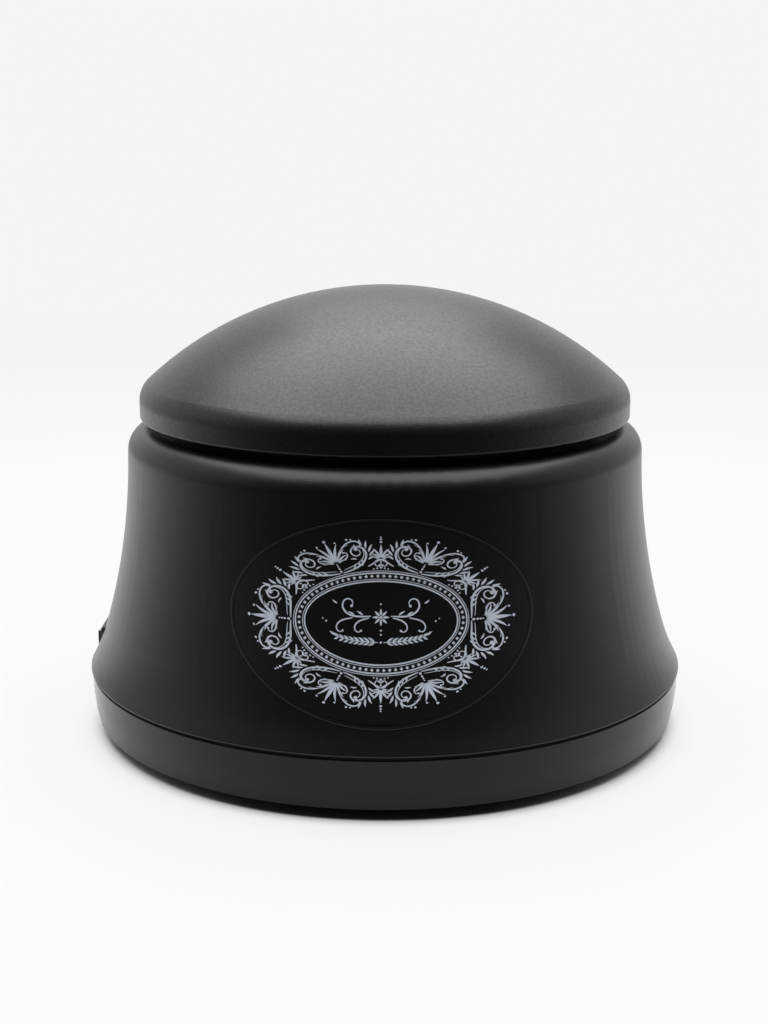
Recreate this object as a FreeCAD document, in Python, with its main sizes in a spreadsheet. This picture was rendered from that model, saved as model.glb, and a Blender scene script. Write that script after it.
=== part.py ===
import FreeCAD, Part
import math
import os
import Sketcher
from FreeCAD import Placement, Rotation, Vector

# Gel polish remover: a bell-shaped housing on a round tray, with a heated bowl under a lift-out
# finger deck and a lift-off dome. Millimetres. +Z is up, the front faces -Y, and the origin is on the
# surface that the rubber feet stand on, at the centre of the machine.

SIZES = {
    # housing outline
    "neck_radius": 72.0,         # well that takes the finger deck and the lid's spigot
    "shoulder_width": 13.75,     # from the well's wall out to the waist
    "flare_radius": 219.0,       # hollow curve of the bell
    "housing_rise": 82.0,        # from the seam to the crest of the shoulder
    "shoulder_drop": 5.0,        # from the crest down to the narrowest point of the bell
    "shoulder_round": 8.0,
    "shell_wall": 2.6,
    "neck_depth": 10.0,
    "neck_chamfer": 1.0,
    "ledge_width": 12.0,
    "ledge_thickness": 4.6,
    # skirt lip and seam
    "seam_height": 20.0,
    "seam_gap": 0.7,
    "lip_overhang": 0.77,        # of the lip past the bell's own curve
    "lip_chamfer": 0.3,
    "lip_band": 0.8,
    "lip_nose_in": 0.13,
    "lip_nose_up": 0.5,
    "lip_nose_round": 1.0,
    "lip_cove_rise": 14.0,       # where the bell starts to flare faster, above the seam
    "lip_wall": 4.0,
    "tongue_rise": 3.6,
    "tongue_wall": 1.8,
    "tongue_clearance": 0.2,
    # base tray
    "foot_stand": 3.3,
    "ring_setback": 0.8,         # of the tray's ring behind the skirt lip
    "ring_draw": 1.7,            # of the ring inwards on its way down
    "ring_wall": 2.6,
    "ring_round": 0.6,
    "ring_chamfer": 0.4,
    "floor_thickness": 2.4,
    "label_length": 56.0,        # shallow recess for the rating label
    "label_width": 32.0,
    "label_recess": 0.3,
    "vent_inner": 52.0,
    "vent_length": 15.0,
    "vent_width": 3.0,
    "vent_count": 16,
    "rib_count": 8,              # of the ribs between the vents and the tray's ring
    "rib_gap": 3.0,              # from the vents' outer ends to the ribs
    "rib_width": 1.6,
    "rib_height": 4.0,
    # feet
    "foot_radius": 8.0,
    "foot_circle": 80.0,
    "foot_recess": 0.8,
    "foot_clearance": 0.3,
    "foot_taper": 1.0,
    # screws that hold the tray to the housing
    "column_radius": 4.0,
    "column_overlap": 0.4,       # of the column into the well's wall
    "column_azimuth": 22.5,
    "column_root_depth": 2.2,    # of the column's root below the crest
    "column_foot": 20.2,         # height at which tray tube and housing column meet
    "tube_radius": 5.0,
    "tube_bore": 3.3,
    "tube_bore_top": 14.0,
    "screw_radius": 1.5,
    "screw_clearance": 0.2,
    "thread_clearance": 0.05,
    "pilot_spare": 1.0,          # depth of a pilot hole past its screw's end
    "screw_bite": 12.0,
    "head_radius": 2.8,
    "head_height": 1.8,
    # flats for the switch and the power jack
    "flat_proud": 0.38,          # of the bell, at the top of the switch's flat
    "switch_pad_width": 22.0,
    "switch_pad_rise": 12.0,
    "switch_cut_width": 16.0,
    "jack_pad_width": 22.0,
    "jack_pad_rise": 14.4,
    "jack_cut_width": 16.0,
    "flat_cut_depth": 9.0,
    # rocker switch
    "switch_rise": 5.75,         # of its centre above the seam
    "bezel_length": 15.0,
    "bezel_width": 10.3,
    "bezel_thickness": 1.3,
    "bezel_chamfer": 0.4,
    "case_length": 13.4,
    "case_width": 8.4,
    "case_depth": 12.0,
    "case_clearance": 0.1,
    "rocker_well_depth": 7.0,
    "rocker_half_length": 5.7,
    "rocker_width": 6.4,
    "rocker_gap": 0.25,
    "rocker_sweep": 0.35,        # of the rocker's ends as it tips
    "rocker_angle": 7.0,
    "rocker_skirt": 2.5,
    "rocker_pivot_drop": 1.2,
    "trunnion_radius": 1.0,
    "trunnion_length": 0.6,
    "trunnion_clearance": 0.05,
    "blade_width": 3.0,
    "blade_thickness": 0.8,
    "blade_length": 6.0,
    "blade_spacing": 7.0,
    "component_edge": 0.8,       # bevel on the components' top edges
    # power jack
    "jack_rise": 7.2,
    "jack_flange_radius": 6.5,
    "jack_flange": 1.5,
    "jack_barrel_radius": 5.2,
    "jack_depth": 14.0,
    "jack_bore": 3.0,
    "jack_bore_depth": 10.0,
    "jack_pin_radius": 1.05,
    "jack_pin_recess": 1.0,
    "jack_nut_flats": 13.0,
    "jack_nut_height": 2.2,
    "jack_clearance": 0.1,
    "jack_tag_spacing": 6.0,
    # oval nameplate
    "plate_half_width": 45.0,
    "plate_half_height": 30.0,
    "plate_drop": 0.6,           # of its centre below the middle of the bell
    "plate_thickness": 1.0,
    "plate_proud": 0.2,
    "plate_clearance": 0.12,
    "plate_margin": 1.0,         # from the plate's edge in to its groove
    "plate_groove": 0.4,
    # finger deck
    "deck_thickness": 2.4,
    "deck_sink": 1.6,            # of the deck's middle below its rim
    "deck_clearance": 0.4,
    "deck_slope_inner": 2.0,
    "deck_slope_width": 4.0,
    "deck_chamfer": 0.5,
    "lug_width": 22.0,
    "lug_thickness": 3.0,
    "lug_height": 9.0,
    "lug_setback": 6.5,
    "lug_round": 5.0,
    "finger_margin": 4.5,        # from the deck's middle edge to a finger opening
    "finger_gap": 3.95,          # between the flanges of neighbouring sleeves, at their middles
    "finger_count": 4,
    "finger_hole_radius": 10.5,
    "finger_hole_straight": 6.0,
    "thumb_hole_radius": 12.5,
    "thumb_hole_straight": 6.0,
    "sleeve_wall": 2.0,
    "sleeve_clearance": 0.15,
    "sleeve_top_flange": 1.4,
    "sleeve_top_overhang": 1.2,
    "sleeve_low_flange": 1.4,
    "sleeve_low_overhang": 0.8,
    "sleeve_bevel": 0.6,
    # lid
    "lid_gap": 2.65,             # from the shoulder's crest up to the lid's edge
    "lid_overhang": 9.5,         # of the lid past the well's wall
    "dome_radius": 117.0,
    "dome_edge_round": 8.0,
    "dome_rim_height": 5.75,
    "dome_wall": 2.4,
    "dome_lip_round": 1.0,
    "liner_recess": 2.0,
    "liner_thickness": 2.0,
    "liner_clearance": 0.3,
    "spigot_clearance": 1.6,
    "spigot_wall": 2.4,
    "seal_height": 2.0,
    "seal_rise": 4.0,            # of the seal above the spigot's foot
    "seal_groove": 1.2,
    "seal_clearance": 0.1,
    "seal_gap": 0.3,             # between the seal and the well's wall
    "lid_boss_radius": 3.2,
    "lid_boss_circle": 30.0,
    "lid_screw_count": 3,
    "lid_screw_bite": 9.0,
    # vapour bowl and its gasket
    "gasket_thickness": 1.0,
    "gasket_inset": 1.0,
    "bowl_wall": 1.0,
    "bowl_clearance": 1.5,
    "bowl_depth": 31.2,
    "bowl_draft": 7.5,
    "bowl_corner": 4.0,
    "bowl_flange_clearance": 3.0,
    "bowl_screw_count": 4,
    "bowl_screw_inset": 3.8,
    "bowl_screw_bite": 3.6,
    # heater
    "heater_radius": 30.0,
    "heater_thickness": 6.0,
    "heater_tag_spacing": 12.0,
    "heater_tag_reach": 4.0,
    "clamp_thickness": 1.4,
    "clamp_width": 16.0,
    "clamp_end": 7.0,
    "stud_radius": 1.5,
    "stud_offset": 37.0,
    "nut_flats": 5.5,
    "nut_height": 2.4,
    "stud_show": 1.2,
    "thermostat_offset": 41.0,
    "thermostat_cap_radius": 6.0,
    "thermostat_cap_height": 3.0,
    "thermostat_radius": 8.0,
    "thermostat_height": 6.0,
    "fuse_offset": 40.0,
    "fuse_radius": 2.0,
    "fuse_length": 12.0,
    "fuse_lead_radius": 0.5,
    "fuse_lead_length": 9.0,
    # control board
    "board_length": 90.0,
    "board_width": 56.0,
    "board_thickness": 1.6,
    "board_height": 14.4,
    "post_radius": 3.2,
    "post_inset": 4.5,
    "board_screw_radius": 1.25,
    "board_screw_bite": 6.0,
    "relay_length": 19.0,
    "relay_width": 15.5,
    "relay_height": 15.3,
    "relay_offset": 22.0,
    "capacitor_radius": 6.3,
    "capacitor_height": 20.0,
    "capacitor_offset": 34.0,    # to the left and to the front, clear of the heater above
    "capacitor_side": 17.0,
    "terminal_ways": 4,
    "terminal_pitch": 5.0,
    "terminal_depth": 8.0,
    "terminal_height": 10.0,
    "terminal_setback": 4.0,
    "terminal_screw_radius": 1.8,
    "terminal_screw_depth": 2.0,
    # inner wiring
    "lead_radius": 0.8,
    "lead_run": 12.0,            # straight out of a tag or a terminal
    "lead_sag": 3.0,
    "lead_loop": 6.0,            # height of the switch leads' loop above the blades
    "lead_inset": 6.0,           # of the switch leads' lands from the board's edge
}


# ---------------------------------------------------------------------------------------------------
# Sizes that carry their own sheet expression
# ---------------------------------------------------------------------------------------------------

class Size:
    """A number together with the sheet expression that it comes from."""

    def __init__(self, value, text):
        self.value = float(value)
        self.text = text

    def __add__(self, other):
        other = as_size(other)
        return Size(self.value + other.value, f"({self.text} + {other.text})")

    def __sub__(self, other):
        other = as_size(other)
        return Size(self.value - other.value, f"({self.text} - {other.text})")

    def __mul__(self, other):
        other = as_size(other)
        return Size(self.value * other.value, f"({self.text} * {other.text})")

    def __truediv__(self, other):
        other = as_size(other)
        return Size(self.value / other.value, f"({self.text} / {other.text})")

    def __radd__(self, other):
        return as_size(other) + self

    def __rsub__(self, other):
        return as_size(other) - self

    def __rmul__(self, other):
        return as_size(other) * self

    def __neg__(self):
        return as_size(0) - self

    def root(self):
        return Size(math.sqrt(self.value), f"sqrt({self.text})")

    def cosine(self):
        return Size(math.cos(math.radians(self.value)), f"cos({self.text} * 1 deg)")

    def sine(self):
        return Size(math.sin(math.radians(self.value)), f"sin({self.text} * 1 deg)")

    def arcsine(self):
        return Size(math.degrees(math.asin(self.value)), f"(asin({self.text}) / 1 deg)")


def as_size(number):
    return number if isinstance(number, Size) else Size(number, f"({number:.9g})")


class SizeSheet:
    """The document's spreadsheet: each size is an attribute of this object."""

    def __init__(self, document):
        sheet = document.addObject("Spreadsheet::Sheet", "Sizes")
        for row, (name, value) in enumerate(SIZES.items(), start=1):
            sheet.set(f"A{row}", name)
            sheet.set(f"B{row}", str(value))
            sheet.setAlias(f"B{row}", name)
            setattr(self, name, Size(value, f"Sizes.{name}"))
        document.recompute()


doc = FreeCAD.newDocument("gel_polish_remover")
dim = SizeSheet(doc)
nodes = []


# ---------------------------------------------------------------------------------------------------
# Sketch helpers
# ---------------------------------------------------------------------------------------------------

ORIGIN_POINT = (-1, 1)
HORIZONTAL_AXIS = -1
VERTICAL_AXIS = -2
START = 1
END = 2
CENTRE = 3


def new_body(name):
    body = doc.addObject("PartDesign::Body", name)
    body.Label = name
    return body


def new_sketch(body, plane, name, lift=None, turn=None):
    """A sketch on one of the body's own origin planes, lifted along the plane's normal."""
    sketch = body.newObject("Sketcher::SketchObject", name)
    support = next(f for f in body.Origin.OriginFeatures if f.Role == plane)
    sketch.AttachmentSupport = [(support, "")]
    sketch.MapMode = "FlatFace"
    if turn is not None:
        sketch.AttachmentOffset = Placement(Vector(), Rotation(Vector(0, 0, 1), turn.value))
        sketch.setExpression("AttachmentOffset.Rotation.Angle", turn.text)
    if lift is not None:
        sketch.setExpression("AttachmentOffset.Base.z", lift.text)
    return sketch


def bind(sketch, constraint, size):
    index = sketch.addConstraint(constraint)
    sketch.setExpression(f"Constraints[{index}]", size.text)


def pin_point(sketch, geometry, point, x, y):
    """Holds a point of the sketch at x, y from the sketch's origin."""
    for kind, axis, size in (("DistanceX", VERTICAL_AXIS, x), ("DistanceY", HORIZONTAL_AXIS, y)):
        if size.value == 0:
            sketch.addConstraint(Sketcher.Constraint("PointOnObject", geometry, point, axis))
        else:
            bind(sketch, Sketcher.Constraint(kind, *ORIGIN_POINT, geometry, point, size.value), size)


class Outline:
    """A closed outline of straight runs and arcs between corners whose places follow the sheet."""

    def __init__(self, sketch, x, y):
        self.sketch = sketch
        self.corners = [(as_size(x), as_size(y))]
        self.runs = []

    def line(self, x, y):
        self.corners.append((as_size(x), as_size(y)))
        self.runs.append(None)
        return self

    def arc_left(self, x, y, radius):
        """An arc that turns to the left on its way to x, y."""
        self.corners.append((as_size(x), as_size(y)))
        self.runs.append((as_size(radius), 1))
        return self

    def arc_right(self, x, y, radius):
        """An arc that turns to the right on its way to x, y."""
        self.corners.append((as_size(x), as_size(y)))
        self.runs.append((as_size(radius), -1))
        return self

    def close(self):
        """Goes straight back to the first corner and draws the outline."""
        self.runs.append(None)
        self.draw()

    def close_left(self, radius):
        """Goes back to the first corner on an arc that turns to the left, and draws the outline."""
        self.runs.append((as_size(radius), 1))
        self.draw()

    def draw(self):
        count = len(self.corners)
        first = self.sketch.GeometryCount
        ends = []
        for k, run in enumerate(self.runs):
            a = Vector(*(size.value for size in self.corners[k]), 0)
            b = Vector(*(size.value for size in self.corners[(k + 1) % count]), 0)
            if run is None:
                self.sketch.addGeometry(Part.LineSegment(a, b))
                ends.append((START, END))
            else:
                radius, side = run
                self.sketch.addGeometry(arc_between(a, b, radius.value, side))
                ends.append((START, END) if side > 0 else (END, START))
        for k in range(count):
            following = (k + 1) % count
            joint = Sketcher.Constraint(
                "Coincident", first + k, ends[k][1], first + following, ends[following][0])
            self.sketch.addConstraint(joint)
        for k, run in enumerate(self.runs):
            pin_point(self.sketch, first + k, ends[k][0], *self.corners[k])
            if run is not None:
                bind(self.sketch, Sketcher.Constraint("Radius", first + k, run[0].value), run[0])


def arc_between(a, b, radius, side):
    chord = b - a
    middle = (a + b) * 0.5
    reach = math.sqrt(max(radius ** 2 - (chord.Length / 2) ** 2, 0))
    left = Vector(-chord.y, chord.x, 0).normalize()
    centre = middle + left * (reach * side)
    start, end = (a - centre, b - centre) if side > 0 else (b - centre, a - centre)
    circle = Part.Circle(centre, Vector(0, 0, 1), radius)
    return Part.ArcOfCircle(circle, math.atan2(start.y, start.x), math.atan2(end.y, end.x))


def draw_rectangle(sketch, x0, y0, x1, y1):
    Outline(sketch, x0, y0).line(x1, y0).line(x1, y1).line(x0, y1).close()


def draw_circle(sketch, x, y, radius):
    x, y, radius = as_size(x), as_size(y), as_size(radius)
    centre = Vector(x.value, y.value, 0)
    geometry = sketch.addGeometry(Part.Circle(centre, Vector(0, 0, 1), radius.value))
    pin_point(sketch, geometry, CENTRE, x, y)
    bind(sketch, Sketcher.Constraint("Radius", geometry, radius.value), radius)


def draw_slot(sketch, x0, x1, radius):
    """A slot along the sketch's horizontal axis, between two end centres."""
    x0, x1, radius = as_size(x0), as_size(x1), as_size(radius)
    near, far, r = x0.value, x1.value, radius.value
    up = Vector(0, 0, 1)
    right = sketch.addGeometry(
        Part.ArcOfCircle(Part.Circle(Vector(far, 0, 0), up, r), -math.pi / 2, math.pi / 2))
    top = sketch.addGeometry(Part.LineSegment(Vector(far, r, 0), Vector(near, r, 0)))
    left = sketch.addGeometry(
        Part.ArcOfCircle(Part.Circle(Vector(near, 0, 0), up, r), math.pi / 2, 3 * math.pi / 2))
    bottom = sketch.addGeometry(Part.LineSegment(Vector(near, -r, 0), Vector(far, -r, 0)))
    runs = (right, top, left, bottom)
    for this, following in zip(runs, runs[1:] + runs[:1]):
        sketch.addConstraint(Sketcher.Constraint("Tangent", this, END, following, START))
    sketch.addConstraint(Sketcher.Constraint("Equal", right, left))
    pin_point(sketch, right, CENTRE, x1, as_size(0))
    pin_point(sketch, left, CENTRE, x0, as_size(0))
    bind(sketch, Sketcher.Constraint("Radius", right, r), radius)


def draw_hexagon(sketch, flats):
    """A hexagon about the sketch's origin, with two flats level."""
    corner = flats / as_size(3).root()
    half = flats / 2
    (Outline(sketch, corner, 0).line(corner / 2, half).line(-corner / 2, half)
        .line(-corner, 0).line(-corner / 2, -half).line(corner / 2, -half).close())


# ---------------------------------------------------------------------------------------------------
# Feature helpers
# ---------------------------------------------------------------------------------------------------

def revolve(body, sketch, name):
    feature = body.newObject("PartDesign::Revolution", name)
    feature.Profile = sketch
    feature.ReferenceAxis = (sketch, ["V_Axis"])
    feature.Angle = 360
    doc.recompute()
    return feature


def pad(body, sketch, length, name, backwards=False, midplane=False):
    feature = body.newObject("PartDesign::Pad", name)
    feature.Profile = sketch
    feature.Reversed = backwards
    feature.Midplane = midplane
    feature.setExpression("Length", as_size(length).text)
    doc.recompute()
    return feature


def pocket(body, sketch, depth, name, backwards=False, midplane=False):
    feature = body.newObject("PartDesign::Pocket", name)
    feature.Profile = sketch
    feature.Reversed = backwards
    feature.Midplane = midplane
    feature.setExpression("Length", as_size(depth).text)
    doc.recompute()
    return feature


def polar(body, original, sketch, count, name, angle=None):
    """Repeats a feature about the normal axis of its sketch: all round, or over an angle."""
    feature = body.newObject("PartDesign::PolarPattern", name)
    feature.Originals = [original]
    feature.Axis = (sketch, ["N_Axis"])
    feature.setExpression("Occurrences", count.text)
    if angle is None:
        feature.Angle = 360
    else:
        feature.setExpression("Angle", angle.text)
    body.Tip = feature
    doc.recompute()
    return feature


def edges_where(feature, wanted):
    """Names of the feature's edges that a test of the edge's box and curve picks out."""
    names = []
    for number, edge in enumerate(feature.Shape.Edges, start=1):
        if wanted(edge):
            names.append(f"Edge{number}")
    return names


def bevel(body, feature, edges, width, name):
    chamfer = body.newObject("PartDesign::Chamfer", name)
    chamfer.Base = (feature, edges)
    chamfer.setExpression("Size", as_size(width).text)
    doc.recompute()
    return chamfer


def level_edges(height):
    """A test for edges that lie level at a height."""
    def wanted(edge):
        box = edge.BoundBox
        return max(abs(box.ZMin - height.value), abs(box.ZMax - height.value)) < 1e-4
    return wanted


def stand(body, x=0, y=0, z=0, rotation=None):
    """Places a body that was modelled in a frame of its own."""
    x, y, z = as_size(x), as_size(y), as_size(z)
    body.Placement = Placement(Vector(x.value, y.value, z.value), rotation or Rotation())
    for axis, size in (("x", x), ("y", y), ("z", z)):
        body.setExpression(f"Placement.Base.{axis}", size.text)


def keep(*bodies):
    nodes.extend(bodies)


# ---------------------------------------------------------------------------------------------------
# Places that several pieces share
# ---------------------------------------------------------------------------------------------------

seam = dim.seam_height
crest = seam + dim.housing_rise
waist_height = crest - dim.shoulder_drop
waist_radius = dim.neck_radius + dim.shoulder_width
bell_centre = waist_radius + dim.flare_radius


def bell_radius(height, offset=0):
    """Radius of the bell at a height, measured on a curve that lies offset inside the outer one."""
    curve = dim.flare_radius + offset
    drop = waist_height - height
    return bell_centre - (curve * curve - drop * drop).root()


skirt_radius = bell_radius(seam) + dim.lip_overhang
skirt_bottom = seam + dim.seam_gap / 2
tongue_bore = skirt_radius - dim.lip_wall
tongue_top = seam + dim.tongue_rise

well_outer = dim.neck_radius + dim.shell_wall
ledge_top = crest - dim.neck_depth
ledge_bottom = ledge_top - dim.ledge_thickness
chamber_radius = dim.neck_radius - dim.ledge_width

ring_radius = skirt_radius - dim.ring_setback
ring_top = seam - dim.seam_gap / 2
floor_top = dim.foot_stand + dim.floor_thickness

column_circle = well_outer + dim.column_radius - dim.column_overlap
column_x = column_circle * dim.column_azimuth.cosine()
column_y = column_circle * dim.column_azimuth.sine()

flat_reach = bell_radius(seam + dim.switch_pad_rise) + dim.flat_proud
flat_inner = flat_reach - dim.shell_wall
switch_height = seam + dim.switch_rise
jack_height = seam + dim.jack_rise

deck_rim_top = ledge_top + dim.deck_thickness
deck_top = deck_rim_top - dim.deck_sink
deck_under = deck_top - dim.deck_thickness

lid_edge = crest + dim.lid_gap
liner_under = lid_edge + dim.liner_recess
liner_top = liner_under + dim.liner_thickness
rim_radius = dim.neck_radius + dim.lid_overhang
rim_inner = rim_radius - dim.dome_wall

gasket_under = ledge_bottom - dim.gasket_thickness
flange_under = gasket_under - dim.bowl_wall
flange_radius = dim.neck_radius - dim.bowl_flange_clearance
bowl_screw_circle = flange_radius - dim.bowl_screw_inset
bowl_floor = gasket_under - dim.bowl_depth
bowl_under = bowl_floor - dim.bowl_wall
heater_under = bowl_under - dim.heater_thickness
clamp_under = heater_under - dim.clamp_thickness
nut_under = clamp_under - dim.nut_height

board_top = dim.board_height + dim.board_thickness
post_x = dim.board_length / 2 - dim.post_inset
post_y = dim.board_width / 2 - dim.post_inset

screw_hole = dim.screw_radius + dim.screw_clearance
screw_pilot = dim.screw_radius + dim.thread_clearance


def corners_of(x, y):
    """The four places that x and y give about the machine's axis."""
    return [(i * x, j * y) for i in (1, -1) for j in (1, -1)]


def ring_places(radius, count):
    """Even places round the machine's axis, the first on +X."""
    places = []
    for k in range(int(count.value)):
        azimuth = as_size(360) * k / count
        places.append((radius * azimuth.cosine(), radius * azimuth.sine()))
    return places


# ---------------------------------------------------------------------------------------------------
# Housing
# ---------------------------------------------------------------------------------------------------

INNER_RUNS = 3    # straight drafts that follow the bell on the inside


def housing_outline(sketch):
    """Half section of the moulded shell: lip, bell, shoulder, well, ledge, and back down inside."""
    curve = dim.flare_radius
    wall = dim.shell_wall
    shoulder_z = crest - dim.shoulder_round
    reach = curve + dim.shoulder_round
    drop = waist_height - shoulder_z
    shoulder_x = bell_centre - (reach * reach - drop * drop).root()
    run_x = (bell_centre - shoulder_x) / reach
    run_z = drop / reach
    inner_curve = curve + wall
    bore_top = tongue_top + dim.tongue_clearance
    nose_x = skirt_radius - dim.lip_nose_in
    nose_z = seam + dim.lip_band + dim.lip_nose_up
    cove_z = seam + dim.lip_cove_rise
    cove_x = bell_radius(cove_z)
    out = nose_x - cove_x
    down = cove_z - nose_z
    # the one radius that leaves the bell's curve without a crease and still ends at the nose
    bend = (out * (bell_centre - cove_x) - down * (waist_height - cove_z)) / curve
    cove_round = (out * out + down * down) / (bend * 2)

    line = Outline(sketch, tongue_bore, skirt_bottom)
    line.line(skirt_radius - dim.lip_chamfer, skirt_bottom)
    line.line(skirt_radius, skirt_bottom + dim.lip_chamfer)
    line.line(skirt_radius, seam + dim.lip_band)
    line.arc_left(nose_x, nose_z, dim.lip_nose_round)
    line.arc_right(cove_x, cove_z, cove_round)
    line.arc_right(bell_centre - curve * run_x, waist_height - curve * run_z, curve)
    line.arc_left(shoulder_x, crest, dim.shoulder_round)
    line.line(dim.neck_radius + dim.neck_chamfer, crest)
    line.line(dim.neck_radius, crest - dim.neck_chamfer)
    line.line(dim.neck_radius, ledge_top)
    line.line(chamber_radius, ledge_top)
    line.line(chamber_radius, ledge_bottom)
    line.line(well_outer, ledge_bottom)
    line.line(well_outer, crest - wall)
    line.line(shoulder_x, crest - wall)
    waist_z = waist_height - inner_curve * run_z
    for run in range(INNER_RUNS + 1):
        height = waist_z - (waist_z - bore_top) * run / INNER_RUNS
        line.line(bell_radius(height, wall), height)
    line.line(tongue_bore, bore_top)
    line.close()


def add_flat(body, plane, name, pad_width, pad_rise, cut_width):
    """A flat that stands upright in the flared skirt, with a wall of even thickness behind it."""
    sketch = new_sketch(body, plane, f"{name}_pad_sketch", lift=-flat_reach)
    draw_rectangle(sketch, -pad_width / 2, skirt_bottom, pad_width / 2, seam + pad_rise)
    pad(body, sketch, dim.shell_wall, f"{name}_pad")
    sketch = new_sketch(body, plane, f"{name}_cut_sketch", lift=-flat_reach)
    cut_bottom = skirt_bottom - dim.seam_gap
    draw_rectangle(sketch, -cut_width / 2, cut_bottom, cut_width / 2, seam + pad_rise)
    pocket(body, sketch, dim.flat_cut_depth, f"{name}_cut")
    sketch = new_sketch(body, plane, f"{name}_spot_sketch", lift=-flat_inner)
    draw_rectangle(sketch, -cut_width / 2, cut_bottom, cut_width / 2, seam + pad_rise)
    pocket(body, sketch, dim.flat_cut_depth, f"{name}_spot_face", backwards=True)


def make_housing_shell():
    """Bell-shaped moulded shell with the well for the deck, four screw columns and two flats."""
    body = new_body("housing_shell")
    sketch = new_sketch(body, "XZ_Plane", "housing_section")
    housing_outline(sketch)
    revolve(body, sketch, "housing_bell")

    sketch = new_sketch(body, "XY_Plane", "column_sketch", lift=dim.column_foot)
    for x, y in corners_of(column_x, column_y):
        draw_circle(sketch, x, y, dim.column_radius)
    pad(body, sketch, crest - dim.column_root_depth - dim.column_foot, "columns")
    sketch = new_sketch(body, "XY_Plane", "pilot_sketch", lift=dim.column_foot)
    for x, y in corners_of(column_x, column_y):
        draw_circle(sketch, x, y, screw_pilot)
    pocket(body, sketch, dim.screw_bite + dim.pilot_spare, "pilots", backwards=True)

    add_flat(body, "YZ_Plane", "switch_flat", dim.switch_pad_width, dim.switch_pad_rise,
             dim.switch_cut_width)
    add_flat(body, "XZ_Plane", "jack_flat", dim.jack_pad_width, dim.jack_pad_rise,
             dim.jack_cut_width)

    sketch = new_sketch(body, "YZ_Plane", "switch_hole_sketch", lift=-flat_reach)
    half_length = dim.case_length / 2 + dim.case_clearance
    half_width = dim.case_width / 2 + dim.case_clearance
    draw_rectangle(sketch, -half_length, switch_height - half_width,
                   half_length, switch_height + half_width)
    pocket(body, sketch, dim.shell_wall * 2, "switch_hole", backwards=True)

    sketch = new_sketch(body, "XZ_Plane", "jack_hole_sketch", lift=-flat_reach)
    draw_circle(sketch, 0, jack_height, dim.jack_barrel_radius + dim.jack_clearance)
    pocket(body, sketch, dim.shell_wall * 2, "jack_hole", backwards=True)

    hole_sketch = new_sketch(body, "XY_Plane", "bowl_pilot_sketch", lift=ledge_bottom)
    draw_circle(hole_sketch, bowl_screw_circle, 0, screw_pilot)
    hole = pocket(body, hole_sketch, dim.bowl_screw_bite, "bowl_pilot", backwards=True)
    polar(body, hole, hole_sketch, dim.bowl_screw_count, "bowl_pilots")
    return body


def make_upper_housing(shell):
    """The shell with the recess that takes the oval nameplate."""
    recess = bell_band("nameplate_recess", dim.plate_thickness + dim.plate_clearance)
    window = oval_prism("nameplate_window", dim.plate_clearance)
    keep(combine("Part::Cut", "upper_housing", shell,
                 combine("Part::Common", "nameplate_pocket", recess, window)))


plate_height = (seam + waist_height) / 2 - dim.plate_drop


def bell_band(name, inside):
    """A ring that follows the bell, from a distance inside its surface to well outside it."""
    body = new_body(name)
    sketch = new_sketch(body, "XZ_Plane", f"{name}_section")
    low = plate_height - dim.plate_half_height - dim.plate_thickness
    high = waist_height
    outside = -dim.flat_cut_depth
    inside = as_size(inside)
    line = Outline(sketch, bell_radius(low, inside), low)
    line.line(bell_radius(low, outside), low)
    line.arc_right(bell_radius(high, outside), high, dim.flare_radius + outside)
    line.line(bell_radius(high, inside), high)
    line.close_left(dim.flare_radius + inside)
    revolve(body, sketch, f"{name}_ring")
    return body


def oval_prism(name, margin=0):
    """An oval block through the front wall, as wide and high as the nameplate and a margin."""
    oval = doc.addObject("Part::Ellipse", f"{name}_oval")
    oval.setExpression("MajorRadius", (dim.plate_half_width + margin).text)
    oval.setExpression("MinorRadius", (dim.plate_half_height + margin).text)
    oval.Placement = Placement(Vector(0, 0, plate_height.value), Rotation(Vector(1, 0, 0), 90))
    oval.setExpression("Placement.Base.z", plate_height.text)
    prism = doc.addObject("Part::Extrusion", name)
    prism.Base = oval
    prism.DirMode = "Custom"
    prism.Dir = Vector(0, -1, 0)
    prism.Solid = True
    prism.setExpression("LengthFwd", (waist_radius * 2).text)
    return prism


def combine(kind, name, base, tool):
    result = doc.addObject(kind, name)
    result.Base = base
    result.Tool = tool
    result.Label = name
    doc.recompute()
    return result


def make_nameplate(shell):
    """Oval plate with the bell's own surface, glued into its recess and a touch proud of the wall.

    A fine groove runs round it, a little way in from the edge.
    """
    outline = combine("Part::Common", "nameplate_outline",
                      bell_band("nameplate_back", dim.plate_thickness),
                      oval_prism("nameplate_edge"))
    blank = combine("Part::Common", "nameplate_blank", shell, outline)
    ring = combine("Part::Cut", "groove_ring",
                   oval_prism("groove_outside", -dim.plate_margin),
                   oval_prism("groove_inside", -dim.plate_margin - dim.plate_groove))
    groove = combine("Part::Common", "nameplate_groove",
                     bell_band("groove_floor", dim.plate_clearance), ring)
    plate = combine("Part::Cut", "nameplate", blank, groove)
    plate.setExpression("Placement.Base.y", (-dim.plate_proud).text)
    doc.recompute()
    keep(plate)


# ---------------------------------------------------------------------------------------------------
# Base tray, feet and the screws between tray and housing
# ---------------------------------------------------------------------------------------------------

def foot_places():
    """The four feet stand on the diagonals."""
    side = dim.foot_circle / as_size(2).root()
    return corners_of(side, side)


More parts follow.
